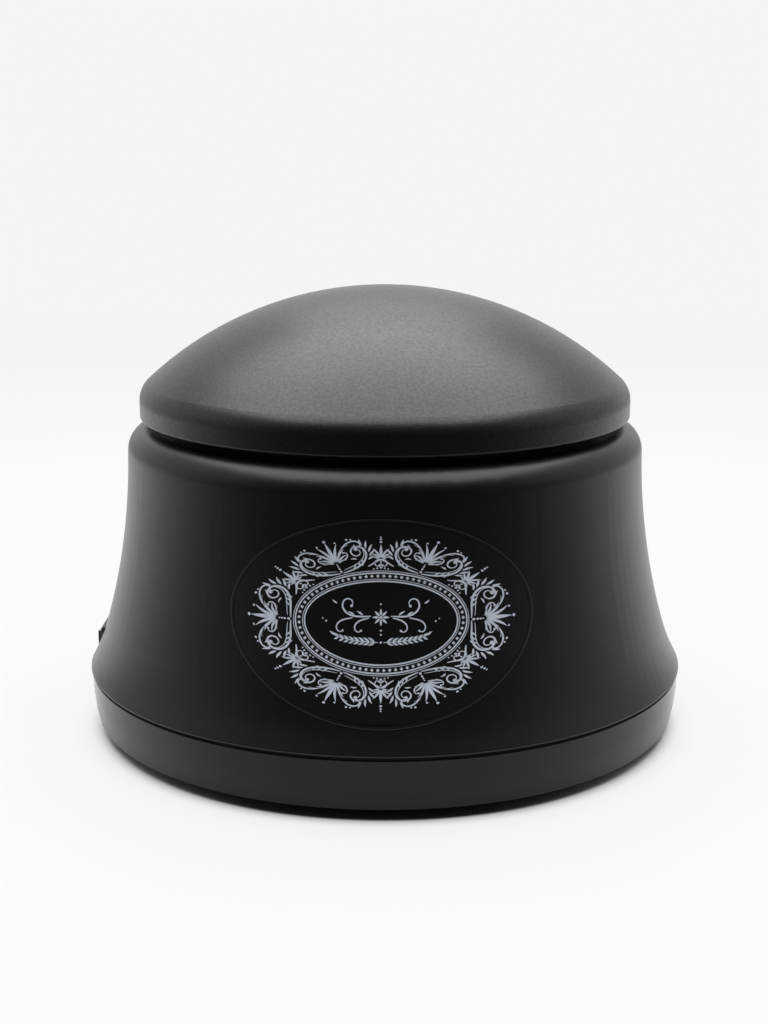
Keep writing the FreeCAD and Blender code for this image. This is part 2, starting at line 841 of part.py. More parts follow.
def make_base_tray():
    """Round tray: floor with vents, ring wall, and a tongue that locates in the skirt."""
    body = new_body("base_tray")
    tongue_outer = tongue_bore - dim.tongue_clearance
    tongue_inner = tongue_outer - dim.tongue_wall
    shelf_bottom = ring_top - dim.ring_wall
    wall_top = shelf_bottom - dim.ring_wall
    ring_rise = ring_top - dim.foot_stand
    slant = (ring_rise * ring_rise + dim.ring_draw * dim.ring_draw).root()
    lean = dim.ring_draw / slant
    rise = ring_rise / slant
    trim = dim.ring_round * (1 - lean) / rise
    ring_foot = ring_radius - dim.ring_draw

    def ring_inner(height):
        """The inside of the ring, which leans like its outside."""
        return ring_foot - dim.ring_wall + (height - dim.foot_stand) * lean / rise

    sketch = new_sketch(body, "XZ_Plane", "tray_section")
    line = Outline(sketch, 0, dim.foot_stand)
    line.line(ring_foot - trim, dim.foot_stand)
    line.arc_left(ring_foot + trim * lean, dim.foot_stand + trim * rise, dim.ring_round)
    line.line(ring_radius - dim.ring_chamfer * lean / rise, ring_top - dim.ring_chamfer)
    line.line(ring_radius - dim.ring_chamfer, ring_top)
    line.line(tongue_outer, ring_top)
    line.line(tongue_outer, tongue_top)
    line.line(tongue_inner, tongue_top)
    line.line(tongue_inner, shelf_bottom)
    line.line(ring_inner(wall_top), wall_top)
    line.line(ring_inner(floor_top), floor_top)
    line.line(0, floor_top)
    line.close()
    revolve(body, sketch, "tray_dish")

    sketch = new_sketch(body, "XY_Plane", "tube_sketch", lift=dim.foot_stand)
    for x, y in corners_of(column_x, column_y):
        draw_circle(sketch, x, y, dim.tube_radius)
    pad(body, sketch, dim.column_foot - dim.foot_stand, "tubes")
    sketch = new_sketch(body, "XY_Plane", "counterbore_sketch", lift=dim.foot_stand)
    for x, y in corners_of(column_x, column_y):
        draw_circle(sketch, x, y, dim.tube_bore)
    pocket(body, sketch, dim.tube_bore_top - dim.foot_stand, "counterbores", backwards=True)
    sketch = new_sketch(body, "XY_Plane", "tube_hole_sketch", lift=dim.foot_stand)
    for x, y in corners_of(column_x, column_y):
        draw_circle(sketch, x, y, screw_hole)
    pocket(body, sketch, dim.column_foot, "tube_holes", backwards=True)

    sketch = new_sketch(body, "XY_Plane", "foot_recess_sketch", lift=dim.foot_stand)
    for x, y in foot_places():
        draw_circle(sketch, x, y, dim.foot_radius + dim.foot_clearance)
    pocket(body, sketch, dim.foot_recess, "foot_recesses", backwards=True)

    sketch = new_sketch(body, "XY_Plane", "post_sketch", lift=floor_top)
    for x, y in corners_of(post_x, post_y):
        draw_circle(sketch, x, y, dim.post_radius)
    pad(body, sketch, dim.board_height - floor_top, "posts")
    sketch = new_sketch(body, "XY_Plane", "post_hole_sketch", lift=dim.board_height)
    for x, y in corners_of(post_x, post_y):
        draw_circle(sketch, x, y, dim.board_screw_radius + dim.thread_clearance)
    pocket(body, sketch, dim.board_screw_bite + dim.pilot_spare, "post_holes")

    notch = dim.switch_pad_width + dim.tongue_wall
    for plane, name in (("YZ_Plane", "switch_notch"), ("XZ_Plane", "jack_notch")):
        sketch = new_sketch(body, plane, f"{name}_sketch", lift=-tongue_outer)
        draw_rectangle(sketch, -notch / 2, ring_top, notch / 2, tongue_top + dim.tongue_clearance)
        pocket(body, sketch, dim.lip_wall * 2, name, backwards=True)

    sketch = new_sketch(body, "XY_Plane", "vent_sketch", lift=dim.foot_stand)
    half_width = dim.vent_width / 2
    draw_slot(sketch, dim.vent_inner + half_width, dim.vent_inner + dim.vent_length - half_width,
              half_width)
    vent = pocket(body, sketch, dim.floor_thickness, "vent", backwards=True)
    polar(body, vent, sketch, dim.vent_count, "vents")

    sketch = new_sketch(body, "XY_Plane", "rib_sketch", lift=floor_top)
    draw_rectangle(sketch, dim.vent_inner + dim.vent_length + dim.rib_gap, -dim.rib_width / 2,
                   ring_inner(floor_top) + dim.ring_wall / 2, dim.rib_width / 2)
    rib = pad(body, sketch, dim.rib_height, "rib")
    polar(body, rib, sketch, dim.rib_count, "ribs")

    sketch = new_sketch(body, "XY_Plane", "label_sketch", lift=dim.foot_stand)
    draw_rectangle(sketch, -dim.label_length / 2, -dim.label_width / 2,
                   dim.label_length / 2, dim.label_width / 2)
    pocket(body, sketch, dim.label_recess, "label_recess", backwards=True)
    keep(body)


def make_rubber_feet():
    """Four stick-on rubber feet, each seated in its recess under the tray."""
    height = dim.foot_stand + dim.foot_recess
    for number, (x, y) in enumerate(foot_places(), start=1):
        body = new_body(f"rubber_foot_{number}")
        sketch = new_sketch(body, "XZ_Plane", f"foot_section_{number}")
        line = Outline(sketch, 0, 0)
        line.line(dim.foot_radius - dim.foot_taper, 0)
        line.line(dim.foot_radius, dim.foot_stand)
        line.line(dim.foot_radius, height)
        line.line(0, height)
        line.close()
        revolve(body, sketch, f"foot_{number}")
        stand(body, x, y)
        keep(body)


def make_screws(name, places, seat, bite, shank, head=None, upwards=True):
    """A set of like screws, one solid each: pan head and plain shank."""
    head_radius = head or dim.head_radius
    body = new_body(name)
    body.AllowCompound = True
    sketch = new_sketch(body, "XY_Plane", f"{name}_head_sketch", lift=seat)
    for x, y in places:
        draw_circle(sketch, x, y, head_radius)
    pad(body, sketch, dim.head_height, f"{name}_heads", backwards=upwards)
    sketch = new_sketch(body, "XY_Plane", f"{name}_shank_sketch", lift=seat)
    for x, y in places:
        draw_circle(sketch, x, y, shank)
    pad(body, sketch, bite, f"{name}_shanks", backwards=not upwards)
    keep(body)


# ---------------------------------------------------------------------------------------------------
# Rocker switch in the left flat
# ---------------------------------------------------------------------------------------------------

# Along the switch's own axes +Z points out of the wall, +X to the front and +Y up.
SWITCH_TURN = Rotation(Vector(0, -1, 0), Vector(0, 0, 1), Vector(-1, 0, 0), "ZXY")


def place_switch(body):
    stand(body, -flat_reach, 0, switch_height, SWITCH_TURN)


def make_switch_body():
    """Snap-in switch case: bezel, case with an open well for the rocker, and two blades."""
    body = new_body("switch_body")
    half_length = dim.case_length / 2
    half_width = dim.case_width / 2
    sketch = new_sketch(body, "XY_Plane", "bezel_sketch")
    draw_rectangle(sketch, -dim.bezel_length / 2, -dim.bezel_width / 2,
                   dim.bezel_length / 2, dim.bezel_width / 2)
    bezel = pad(body, sketch, dim.bezel_thickness, "bezel")
    bevel(body, bezel, edges_where(bezel, level_edges(dim.bezel_thickness)), dim.bezel_chamfer,
          "bezel_bevel")
    sketch = new_sketch(body, "XY_Plane", "case_sketch")
    draw_rectangle(sketch, -half_length, -half_width, half_length, half_width)
    pad(body, sketch, dim.case_depth, "case", backwards=True)
    sketch = new_sketch(body, "XY_Plane", "rocker_well_sketch", lift=dim.bezel_thickness)
    well_x = dim.rocker_half_length + dim.rocker_sweep + dim.rocker_gap
    well_y = dim.rocker_width / 2 + dim.rocker_gap
    draw_rectangle(sketch, -well_x, -well_y, well_x, well_y)
    pocket(body, sketch, dim.rocker_well_depth + dim.bezel_thickness, "rocker_well")
    sketch = new_sketch(body, "XZ_Plane", "trunnion_hole_sketch")
    draw_circle(sketch, 0, -dim.rocker_pivot_drop, dim.trunnion_radius + dim.trunnion_clearance)
    pocket(body, sketch, dim.rocker_width + (dim.trunnion_length + dim.trunnion_clearance) * 2,
           "trunnion_holes", midplane=True)
    sketch = new_sketch(body, "XY_Plane", "blade_sketch", lift=-dim.case_depth)
    for side in (1, -1):
        middle = dim.blade_spacing / 2 * side
        draw_rectangle(sketch, middle - dim.blade_thickness / 2, -dim.blade_width / 2,
                       middle + dim.blade_thickness / 2, dim.blade_width / 2)
    pad(body, sketch, dim.blade_length, "blades", backwards=True)
    place_switch(body)
    keep(body)


def make_power_rocker():
    """Rocker with two facets that meet in a shallow valley, drawn with its front end raised."""
    body = new_body("power_rocker")
    tilt = dim.rocker_angle
    pivot = dim.rocker_pivot_drop
    reach = dim.rocker_half_length
    middle = dim.bezel_thickness + pivot

    def turned(x, z):
        """A point of the level rocker, tipped about the trunnions."""
        x, z = as_size(x), as_size(z)
        return (x * tilt.cosine() - z * tilt.sine(), x * tilt.sine() + z * tilt.cosine() - pivot)

    slope = tilt.sine() / tilt.cosine()
    end_x = reach * tilt.cosine()
    end_z = middle + end_x * slope
    sketch = new_sketch(body, "XZ_Plane", "rocker_profile")
    line = Outline(sketch, *turned(-end_x, -dim.rocker_skirt))
    line.line(*turned(end_x, -dim.rocker_skirt))
    line.line(*turned(end_x, end_z))
    line.line(*turned(0, middle))
    line.line(*turned(-end_x, end_z))
    line.close()
    pad(body, sketch, dim.rocker_width, "rocker", midplane=True)
    sketch = new_sketch(body, "XZ_Plane", "trunnion_sketch")
    draw_circle(sketch, 0, -pivot, dim.trunnion_radius)
    pad(body, sketch, dim.rocker_width + dim.trunnion_length * 2, "trunnions", midplane=True)
    place_switch(body)
    keep(body)


# ---------------------------------------------------------------------------------------------------
# Power jack in the rear flat
# ---------------------------------------------------------------------------------------------------

# Along the jack's own axes +Z points out of the wall, +X to the left and +Y up.
JACK_TURN = Rotation(Vector(-1, 0, 0), Vector(0, 0, 1), Vector(0, 1, 0), "ZXY")


def place_jack(body):
    stand(body, 0, flat_reach, jack_height, JACK_TURN)


def make_power_jack():
    """Panel jack for a low-voltage plug: flanged barrel, centre pin, and the nut behind the wall."""
    body = new_body("jack_body")
    sketch = new_sketch(body, "XZ_Plane", "jack_section")
    back = dim.jack_depth
    line = Outline(sketch, 0, -back)
    line.line(dim.jack_barrel_radius, -back)
    line.line(dim.jack_barrel_radius, 0)
    line.line(dim.jack_flange_radius, 0)
    line.line(dim.jack_flange_radius, dim.jack_flange)
    line.line(dim.jack_bore, dim.jack_flange)
    line.line(dim.jack_bore, dim.jack_flange - dim.jack_bore_depth)
    line.line(0, dim.jack_flange - dim.jack_bore_depth)
    line.close()
    revolve(body, sketch, "jack_barrel")
    sketch = new_sketch(body, "XY_Plane", "jack_tag_sketch", lift=-back)
    for side in (1, -1):
        middle = dim.jack_tag_spacing / 2 * side
        draw_rectangle(sketch, middle - dim.blade_thickness / 2, -dim.blade_width / 2,
                       middle + dim.blade_thickness / 2, dim.blade_width / 2)
    pad(body, sketch, dim.blade_length, "jack_tags", backwards=True)
    place_jack(body)

    pin = new_body("jack_pin")
    sketch = new_sketch(pin, "XY_Plane", "pin_sketch", lift=dim.jack_flange - dim.jack_bore_depth)
    draw_circle(sketch, 0, 0, dim.jack_pin_radius)
    pad(pin, sketch, dim.jack_bore_depth - dim.jack_pin_recess, "pin")
    place_jack(pin)

    nut = new_body("jack_nut")
    sketch = new_sketch(nut, "XY_Plane", "jack_nut_sketch", lift=-dim.shell_wall)
    draw_hexagon(sketch, dim.jack_nut_flats)
    draw_circle(sketch, 0, 0, dim.jack_barrel_radius + dim.thread_clearance)
    pad(nut, sketch, dim.jack_nut_height, "nut", backwards=True)
    place_jack(nut)
    keep(body, pin, nut)


# ---------------------------------------------------------------------------------------------------
# Finger deck and its sleeves
# ---------------------------------------------------------------------------------------------------

finger_reach = dim.finger_hole_straight / 2 + dim.finger_hole_radius
finger_circle = chamber_radius - dim.finger_margin - finger_reach
thumb_reach = dim.thumb_hole_straight / 2 + dim.thumb_hole_radius
thumb_circle = chamber_radius - dim.finger_margin - thumb_reach
finger_half = dim.finger_hole_radius + dim.sleeve_top_overhang + dim.finger_gap / 2
finger_step = (finger_half / finger_circle).arcsine() * 2
finger_azimuth = 90 - finger_step * (dim.finger_count - 1) / 2


def make_finger_deck():
    """Round lift-out deck: rim on the ledge, sunk middle with five openings, and two lifting lugs."""
    body = new_body("finger_deck")
    rim = dim.neck_radius - dim.deck_clearance
    step = chamber_radius - dim.deck_clearance
    slope_outer = step + dim.deck_slope_inner
    slope_inner = slope_outer - dim.deck_slope_width
    sketch = new_sketch(body, "XZ_Plane", "deck_section")
    line = Outline(sketch, 0, deck_under)
    line.line(step, deck_under)
    line.line(step, ledge_top)
    line.line(rim, ledge_top)
    line.line(rim, deck_rim_top - dim.deck_chamfer)
    line.line(rim - dim.deck_chamfer, deck_rim_top)
    line.line(slope_outer, deck_rim_top)
    line.line(slope_inner, deck_top)
    line.line(0, deck_top)
    line.close()
    revolve(body, sketch, "deck_plate")

    half_straight = dim.finger_hole_straight / 2
    sketch = new_sketch(body, "XY_Plane", "finger_hole_sketch", lift=deck_under,
                        turn=finger_azimuth)
    draw_slot(sketch, finger_circle - half_straight, finger_circle + half_straight,
              dim.finger_hole_radius)
    hole = pocket(body, sketch, dim.deck_thickness, "finger_hole", backwards=True)
    polar(body, hole, sketch, dim.finger_count, "finger_holes",
          angle=finger_step * (dim.finger_count - 1))
    half_straight = dim.thumb_hole_straight / 2
    sketch = new_sketch(body, "XY_Plane", "thumb_hole_sketch", lift=deck_under, turn=as_size(-90))
    draw_slot(sketch, thumb_circle - half_straight, thumb_circle + half_straight,
              dim.thumb_hole_radius)
    pocket(body, sketch, dim.deck_thickness, "thumb_hole", backwards=True)

    lug_outer = rim - dim.lug_setback
    for side, name in ((1, "right"), (-1, "left")):
        sketch = new_sketch(body, "YZ_Plane", f"{name}_lug_sketch", lift=lug_outer * side)
        half = dim.lug_width / 2
        top = deck_rim_top + dim.lug_height
        shoulder = top - dim.lug_round
        line = Outline(sketch, -half, deck_top)
        line.line(half, deck_top)
        line.line(half, shoulder)
        line.arc_left(half - dim.lug_round, top, dim.lug_round)
        line.line(dim.lug_round - half, top)
        line.arc_left(-half, shoulder, dim.lug_round)
        line.close()
        pad(body, sketch, dim.lug_thickness, f"{name}_lug", backwards=side > 0)
    keep(body)


def make_sleeve(name, hole_radius, hole_straight, circle, azimuth):
    """Soft sleeve snapped into an opening of the deck: a flange above, a neck, a flange below."""
    body = new_body(name)
    half = hole_straight / 2
    neck = hole_radius - dim.sleeve_clearance
    under = -dim.deck_thickness
    low = under - dim.sleeve_low_flange
    bore = hole_radius - dim.sleeve_wall
    steps = (
        ("top_flange", as_size(0), dim.sleeve_top_flange, hole_radius + dim.sleeve_top_overhang),
        ("neck", under, dim.deck_thickness, neck),
        ("low_flange", low, dim.sleeve_low_flange, hole_radius + dim.sleeve_low_overhang),
    )
    for step, height, thickness, radius in steps:
        sketch = new_sketch(body, "XY_Plane", f"{name}_{step}_sketch", lift=height)
        draw_slot(sketch, -half, half, radius)
        pad(body, sketch, thickness, f"{name}_{step}")
    sketch = new_sketch(body, "XY_Plane", f"{name}_bore_sketch", lift=low)
    draw_slot(sketch, -half, half, bore)
    opening = pocket(body, sketch, dim.sleeve_top_flange - low, f"{name}_bore", backwards=True)
    bevel(body, opening, edges_where(opening, level_edges(dim.sleeve_top_flange)),
          dim.sleeve_bevel, f"{name}_soft_edge")
    turn = Rotation(Vector(0, 0, 1), azimuth.value)
    stand(body, circle * azimuth.cosine(), circle * azimuth.sine(), deck_top, turn)
    keep(body)


def make_sleeves():
    for k in range(int(dim.finger_count.value)):
        azimuth = finger_azimuth + finger_step * k
        make_sleeve(f"finger_sleeve_{k + 1}", dim.finger_hole_radius, dim.finger_hole_straight,
                    finger_circle, azimuth)
    make_sleeve("thumb_sleeve", dim.thumb_hole_radius, dim.thumb_hole_straight, thumb_circle,
                as_size(-90))


# ---------------------------------------------------------------------------------------------------
# Lid
# ---------------------------------------------------------------------------------------------------

dome_round_z = lid_edge + dim.dome_rim_height
dome_round_x = rim_radius - dim.dome_edge_round
dome_span = dim.dome_radius - dim.dome_edge_round
dome_centre = dome_round_z - (dome_span * dome_span - dome_round_x * dome_round_x).root()


def dome_point(radius):
    """Where the dome of a radius meets the round of its rim, as x and z."""
    return (dome_round_x * radius / dome_span,
            dome_centre + (dome_round_z - dome_centre) * radius / dome_span)


def make_lid_shell():
    """Domed cap: one sweep of a large radius, rounded over into a short upright rim."""
    body = new_body("lid_shell")
    outer = dim.dome_radius
    inner = outer - dim.dome_wall
    lip = dim.dome_lip_round
    sketch = new_sketch(body, "XZ_Plane", "dome_section")
    line = Outline(sketch, 0, dome_centre + inner)
    line.arc_right(*dome_point(inner), inner)
    line.line(rim_inner, dome_round_z)
    line.line(rim_inner, lid_edge)
    line.line(rim_radius - lip, lid_edge)
    line.arc_left(rim_radius, lid_edge + lip, lip)
    line.line(rim_radius, dome_round_z)
    line.arc_left(*dome_point(outer), dim.dome_edge_round)
    line.arc_left(0, dome_centre + outer, outer)
    line.close()
    revolve(body, sketch, "dome")

    near = dim.lid_boss_circle - dim.lid_boss_radius
    far = dim.lid_boss_circle + dim.lid_boss_radius
    inside = (inner * inner - near * near).root()
    outside = (outer * outer - far * far).root()
    root = dome_centre + (inside + outside) / 2
    for name, radius in (("lid_boss", dim.lid_boss_radius), ("lid_boss_pilot", screw_pilot)):
        sketch = new_sketch(body, "XY_Plane", f"{name}_sketch", lift=liner_top)
        draw_circle(sketch, dim.lid_boss_circle, 0, radius)
        if name == "lid_boss":
            feature = pad(body, sketch, root - liner_top, name)
        else:
            feature = pocket(body, sketch, dim.lid_screw_bite + dim.pilot_spare, name,
                             backwards=True)
        polar(body, feature, sketch, dim.lid_screw_count, f"{name}s")
    keep(body)


spigot_radius = dim.neck_radius - dim.spigot_clearance
groove_radius = spigot_radius - dim.seal_groove
groove_bottom = deck_rim_top + dim.seal_rise


def make_lid_liner():
    """Plate that closes the dome, with the spigot that drops into the well and stands on the deck."""
    body = new_body("lid_liner")
    spigot_inner = spigot_radius - dim.spigot_wall
    groove_top = groove_bottom + dim.seal_height + dim.seal_clearance * 2
    plate_radius = rim_inner - dim.liner_clearance
    sketch = new_sketch(body, "XZ_Plane", "liner_section")
    line = Outline(sketch, 0, liner_under)
    line.line(spigot_inner, liner_under)
    line.line(spigot_inner, deck_rim_top)
    line.line(spigot_radius, deck_rim_top)
    line.line(spigot_radius, groove_bottom)
    line.line(groove_radius, groove_bottom)
    line.line(groove_radius, groove_top)
    line.line(spigot_radius, groove_top)
    line.line(spigot_radius, liner_under)
    line.line(plate_radius, liner_under)
    line.line(plate_radius, liner_top)
    line.line(0, liner_top)
    line.close()
    revolve(body, sketch, "liner_plate")
    sketch = new_sketch(body, "XY_Plane", "liner_hole_sketch", lift=liner_under)
    draw_circle(sketch, dim.lid_boss_circle, 0, screw_hole)
    hole = pocket(body, sketch, dim.liner_thickness, "liner_hole", backwards=True)
    polar(body, hole, sketch, dim.lid_screw_count, "liner_holes")
    keep(body)


def make_lid_seal():
    """Soft ring in the spigot's groove, which keeps the vapour in the well."""
    body = new_body("lid_seal")
    bottom = groove_bottom + dim.seal_clearance
    inner = groove_radius + dim.seal_clearance
    outer = dim.neck_radius - dim.seal_gap
    sketch = new_sketch(body, "XZ_Plane", "seal_section")
    draw_rectangle(sketch, inner, bottom, outer, bottom + dim.seal_height)
    revolve(body, sketch, "seal")
    keep(body)


# ---------------------------------------------------------------------------------------------------
# Vapour bowl, gasket and heater
# ---------------------------------------------------------------------------------------------------

def make_vapour_bowl():
    """Drawn aluminium bowl under the ledge, with two studs under it for the heater's clamp."""
    body = new_body("vapour_bowl")
    wall = dim.bowl_wall
    mouth = chamber_radius - dim.bowl_clearance
    base = mouth - dim.bowl_draft
    corner = dim.bowl_corner
    corner_x = base - corner
    corner_z = bowl_floor + corner
    sketch = new_sketch(body, "XZ_Plane", "bowl_section")
    line = Outline(sketch, 0, bowl_under)
    line.line(corner_x, bowl_under)
    line.arc_left(base + wall, corner_z, corner + wall)
    line.line(mouth + wall, flange_under)
    line.line(flange_radius, flange_under)
    line.line(flange_radius, gasket_under)
    line.line(mouth, gasket_under)
    line.line(base, corner_z)
    line.arc_right(corner_x, bowl_floor, corner)
    line.line(0, bowl_floor)
    line.close()
    revolve(body, sketch, "bowl_dish")
    sketch = new_sketch(body, "XY_Plane", "bowl_hole_sketch", lift=flange_under)
    draw_circle(sketch, bowl_screw_circle, 0, screw_hole)
    hole = pocket(body, sketch, wall, "bowl_hole", backwards=True)
    polar(body, hole, sketch, dim.bowl_screw_count, "bowl_holes")
    sketch = new_sketch(body, "XY_Plane", "stud_sketch", lift=bowl_under)
    draw_circle(sketch, dim.stud_offset, 0, dim.stud_radius)
    draw_circle(sketch, -dim.stud_offset, 0, dim.stud_radius)
    pad(body, sketch, bowl_under - nut_under + dim.stud_show, "studs", backwards=True)
    keep(body)


def make_chamber_gasket():
    """Flat soft ring between the bowl's flange and the ledge."""
    body = new_body("chamber_gasket")
    sketch = new_sketch(body, "XY_Plane", "gasket_sketch", lift=gasket_under)
    draw_circle(sketch, 0, 0, flange_radius)
    draw_circle(sketch, 0, 0, chamber_radius + dim.gasket_inset)
    for x, y in ring_places(bowl_screw_circle, dim.bowl_screw_count):
        draw_circle(sketch, x, y, screw_hole)
    pad(body, sketch, dim.gasket_thickness, "gasket")
    keep(body)


def make_heater():
    """Flat heating element under the bowl, and the bar and nuts that press it up."""
    disc = new_body("heater_disc")
    sketch = new_sketch(disc, "XY_Plane", "heater_sketch", lift=heater_under)
    draw_circle(sketch, 0, 0, dim.heater_radius)
    pad(disc, sketch, dim.heater_thickness, "heater")
    sketch = new_sketch(disc, "XY_Plane", "heater_tag_sketch", lift=heater_under)
    tag_root = dim.heater_tag_reach / 2 - dim.heater_radius
    for side in (1, -1):
        middle = dim.heater_tag_spacing / 2 * side
        draw_rectangle(sketch, middle - dim.blade_width / 2, -dim.heater_radius - dim.heater_tag_reach,
                       middle + dim.blade_width / 2, tag_root)
    pad(disc, sketch, dim.blade_thickness, "heater_tags")

    bar = new_body("heater_clamp")
    sketch = new_sketch(bar, "XY_Plane", "clamp_sketch", lift=clamp_under)
    end = dim.stud_offset + dim.clamp_end
    round_x = end - dim.clamp_width / 2
    draw_slot(sketch, -round_x, round_x, dim.clamp_width / 2)
    for side in (1, -1):
        draw_circle(sketch, dim.stud_offset * side, 0, screw_hole)
    pad(bar, sketch, dim.clamp_thickness, "clamp_bar")

    nuts = doc.addObject("Part::Compound", "clamp_nuts")
    pair = []
    for side, name in ((1, "right"), (-1, "left")):
        nut = new_body(f"{name}_clamp_nut")
        sketch = new_sketch(nut, "XY_Plane", f"{name}_nut_sketch")
        draw_hexagon(sketch, dim.nut_flats)
        draw_circle(sketch, 0, 0, dim.stud_radius + dim.thread_clearance)
        pad(nut, sketch, dim.nut_height, f"{name}_nut")
        stand(nut, dim.stud_offset * side, 0, nut_under)
        pair.append(nut)
    nuts.Links = pair
    nuts.Label = "clamp_nuts"
    doc.recompute()
    keep(disc, bar, nuts)


def make_thermostat():
    """Snap-disc thermostat against the bowl: metal cap, moulded body and two blades."""
    body = new_body("thermostat")
    cap_under = bowl_under - dim.thermostat_cap_height
    case_under = cap_under - dim.thermostat_height
    place = dim.thermostat_offset
    steps = (
        ("cap", cap_under, dim.thermostat_cap_height, dim.thermostat_cap_radius),
        ("case", case_under, dim.thermostat_height, dim.thermostat_radius),
    )
    for step, height, thickness, radius in steps:
        sketch = new_sketch(body, "XY_Plane", f"thermostat_{step}_sketch", lift=height)
        draw_circle(sketch, 0, place, radius)
        pad(body, sketch, thickness, f"thermostat_{step}")
    sketch = new_sketch(body, "XY_Plane", "thermostat_blade_sketch", lift=case_under)
    for side in (1, -1):
        middle = dim.blade_spacing / 2 * side
        draw_rectangle(sketch, middle - dim.blade_thickness / 2, place - dim.blade_width / 2,
                       middle + dim.blade_thickness / 2, place + dim.blade_width / 2)
    pad(body, sketch, dim.blade_length, "thermostat_blades", backwards=True)
    keep(body)


def make_thermal_fuse():
    """Barrel-shaped thermal fuse lying along the bowl's underside, with a stiff lead at each end."""
    body = new_body("thermal_fuse")
    height = bowl_under - dim.fuse_radius
    sketch = new_sketch(body, "YZ_Plane", "fuse_sketch")
    draw_circle(sketch, -dim.fuse_offset, height, dim.fuse_radius)
    pad(body, sketch, dim.fuse_length, "fuse_barrel", midplane=True)
    sketch = new_sketch(body, "YZ_Plane", "fuse_lead_sketch")
    draw_circle(sketch, -dim.fuse_offset, height, dim.fuse_lead_radius)
    pad(body, sketch, dim.fuse_length + dim.fuse_lead_length * 2, "fuse_leads", midplane=True)
    keep(body)


# ---------------------------------------------------------------------------------------------------
# Control board
# ---------------------------------------------------------------------------------------------------

def make_block(name, x, y, length, width, height):
    """A boxed component that stands on the board, with its top edges bevelled."""
    body = new_body(name)
    sketch = new_sketch(body, "XY_Plane", f"{name}_sketch", lift=board_top)
    draw_rectangle(sketch, x - length / 2, y - width / 2, x + length / 2, y + width / 2)
    block = pad(body, sketch, height, f"{name}_block")
    top = edges_where(block, level_edges(board_top + height))
    bevel(body, block, top, dim.component_edge, f"{name}_bevel")
    return body


terminal_y = dim.board_width / 2 - dim.terminal_setback - dim.terminal_depth / 2
terminal_length = dim.terminal_pitch * dim.terminal_ways


def make_control_board():
    """Board on four posts of the tray, with its relay, capacitor and terminal block."""
    board = new_body("control_board")
    sketch = new_sketch(board, "XY_Plane", "board_sketch", lift=dim.board_height)
    half_x = dim.board_length / 2
    half_y = dim.board_width / 2
    draw_rectangle(sketch, -half_x, -half_y, half_x, half_y)
    for x, y in corners_of(post_x, post_y):
        draw_circle(sketch, x, y, dim.board_screw_radius + dim.screw_clearance)
    pad(board, sketch, dim.board_thickness, "board")

    relay = make_block("relay", dim.relay_offset, as_size(0), dim.relay_length, dim.relay_width,
                       dim.relay_height)

    capacitor = new_body("capacitor")
    sketch = new_sketch(capacitor, "XY_Plane", "capacitor_sketch", lift=board_top)
    draw_circle(sketch, -dim.capacitor_offset, -dim.capacitor_side, dim.capacitor_radius)
    can = pad(capacitor, sketch, dim.capacitor_height, "can")
    top = edges_where(can, level_edges(board_top + dim.capacitor_height))
    bevel(capacitor, can, top, dim.component_edge, "can_edge")

    block = make_block("terminal_block", as_size(0), terminal_y, terminal_length, dim.terminal_depth,
                       dim.terminal_height)
    sketch = new_sketch(block, "XY_Plane", "terminal_screw_sketch",
                        lift=board_top + dim.terminal_height)
    for k in range(int(dim.terminal_ways.value)):
        draw_circle(sketch, terminal_x(k), terminal_y, dim.terminal_screw_radius)
    pocket(block, sketch, dim.terminal_screw_depth, "terminal_screws")
    keep(board, relay, capacitor, block)


def terminal_x(way):
    """Middle of a way of the terminal block."""
    return dim.terminal_pitch * (way + 0.5) - terminal_length / 2


# ---------------------------------------------------------------------------------------------------
# Inner wiring
# ---------------------------------------------------------------------------------------------------

def bent_wire(points):
    """A path of straight runs through the points, with an arc as large as its runs allow at each."""
    edges = []
    start = points[0]
    for before, point, after in zip(points, points[1:], points[2:]):
        back = before - point
        on = after - point
        half_turn = (math.pi - back.getAngle(on)) / 2
        trim = 0.45 * min(back.Length, on.Length)
        enter = point + back.normalize() * trim
        leave = point + on.normalize() * trim
        bisector = (back + on).normalize()
        radius = trim / math.tan(half_turn)
        middle = point + bisector * (math.hypot(trim, radius) - radius)
        edges.append(Part.LineSegment(start, enter).toShape())
        edges.append(Part.Arc(enter, middle, leave).toShape())
        start = leave
    edges.append(Part.LineSegment(start, points[-1]).toShape())
    return Part.Wire(edges)


def lead(points):
    """One insulated lead along a bent path."""
    path = bent_wire(points)
    direction = (points[1] - points[0]).normalize()
    section = Part.Wire(Part.makeCircle(dim.lead_radius.value, points[0], direction))
    return path.makePipeShell([section], True, True)


def keep_leads(name, shapes):
    feature = doc.addObject("Part::Feature", name)
    feature.Shape = Part.makeCompound(shapes)
    feature.Label = name
    keep(feature)


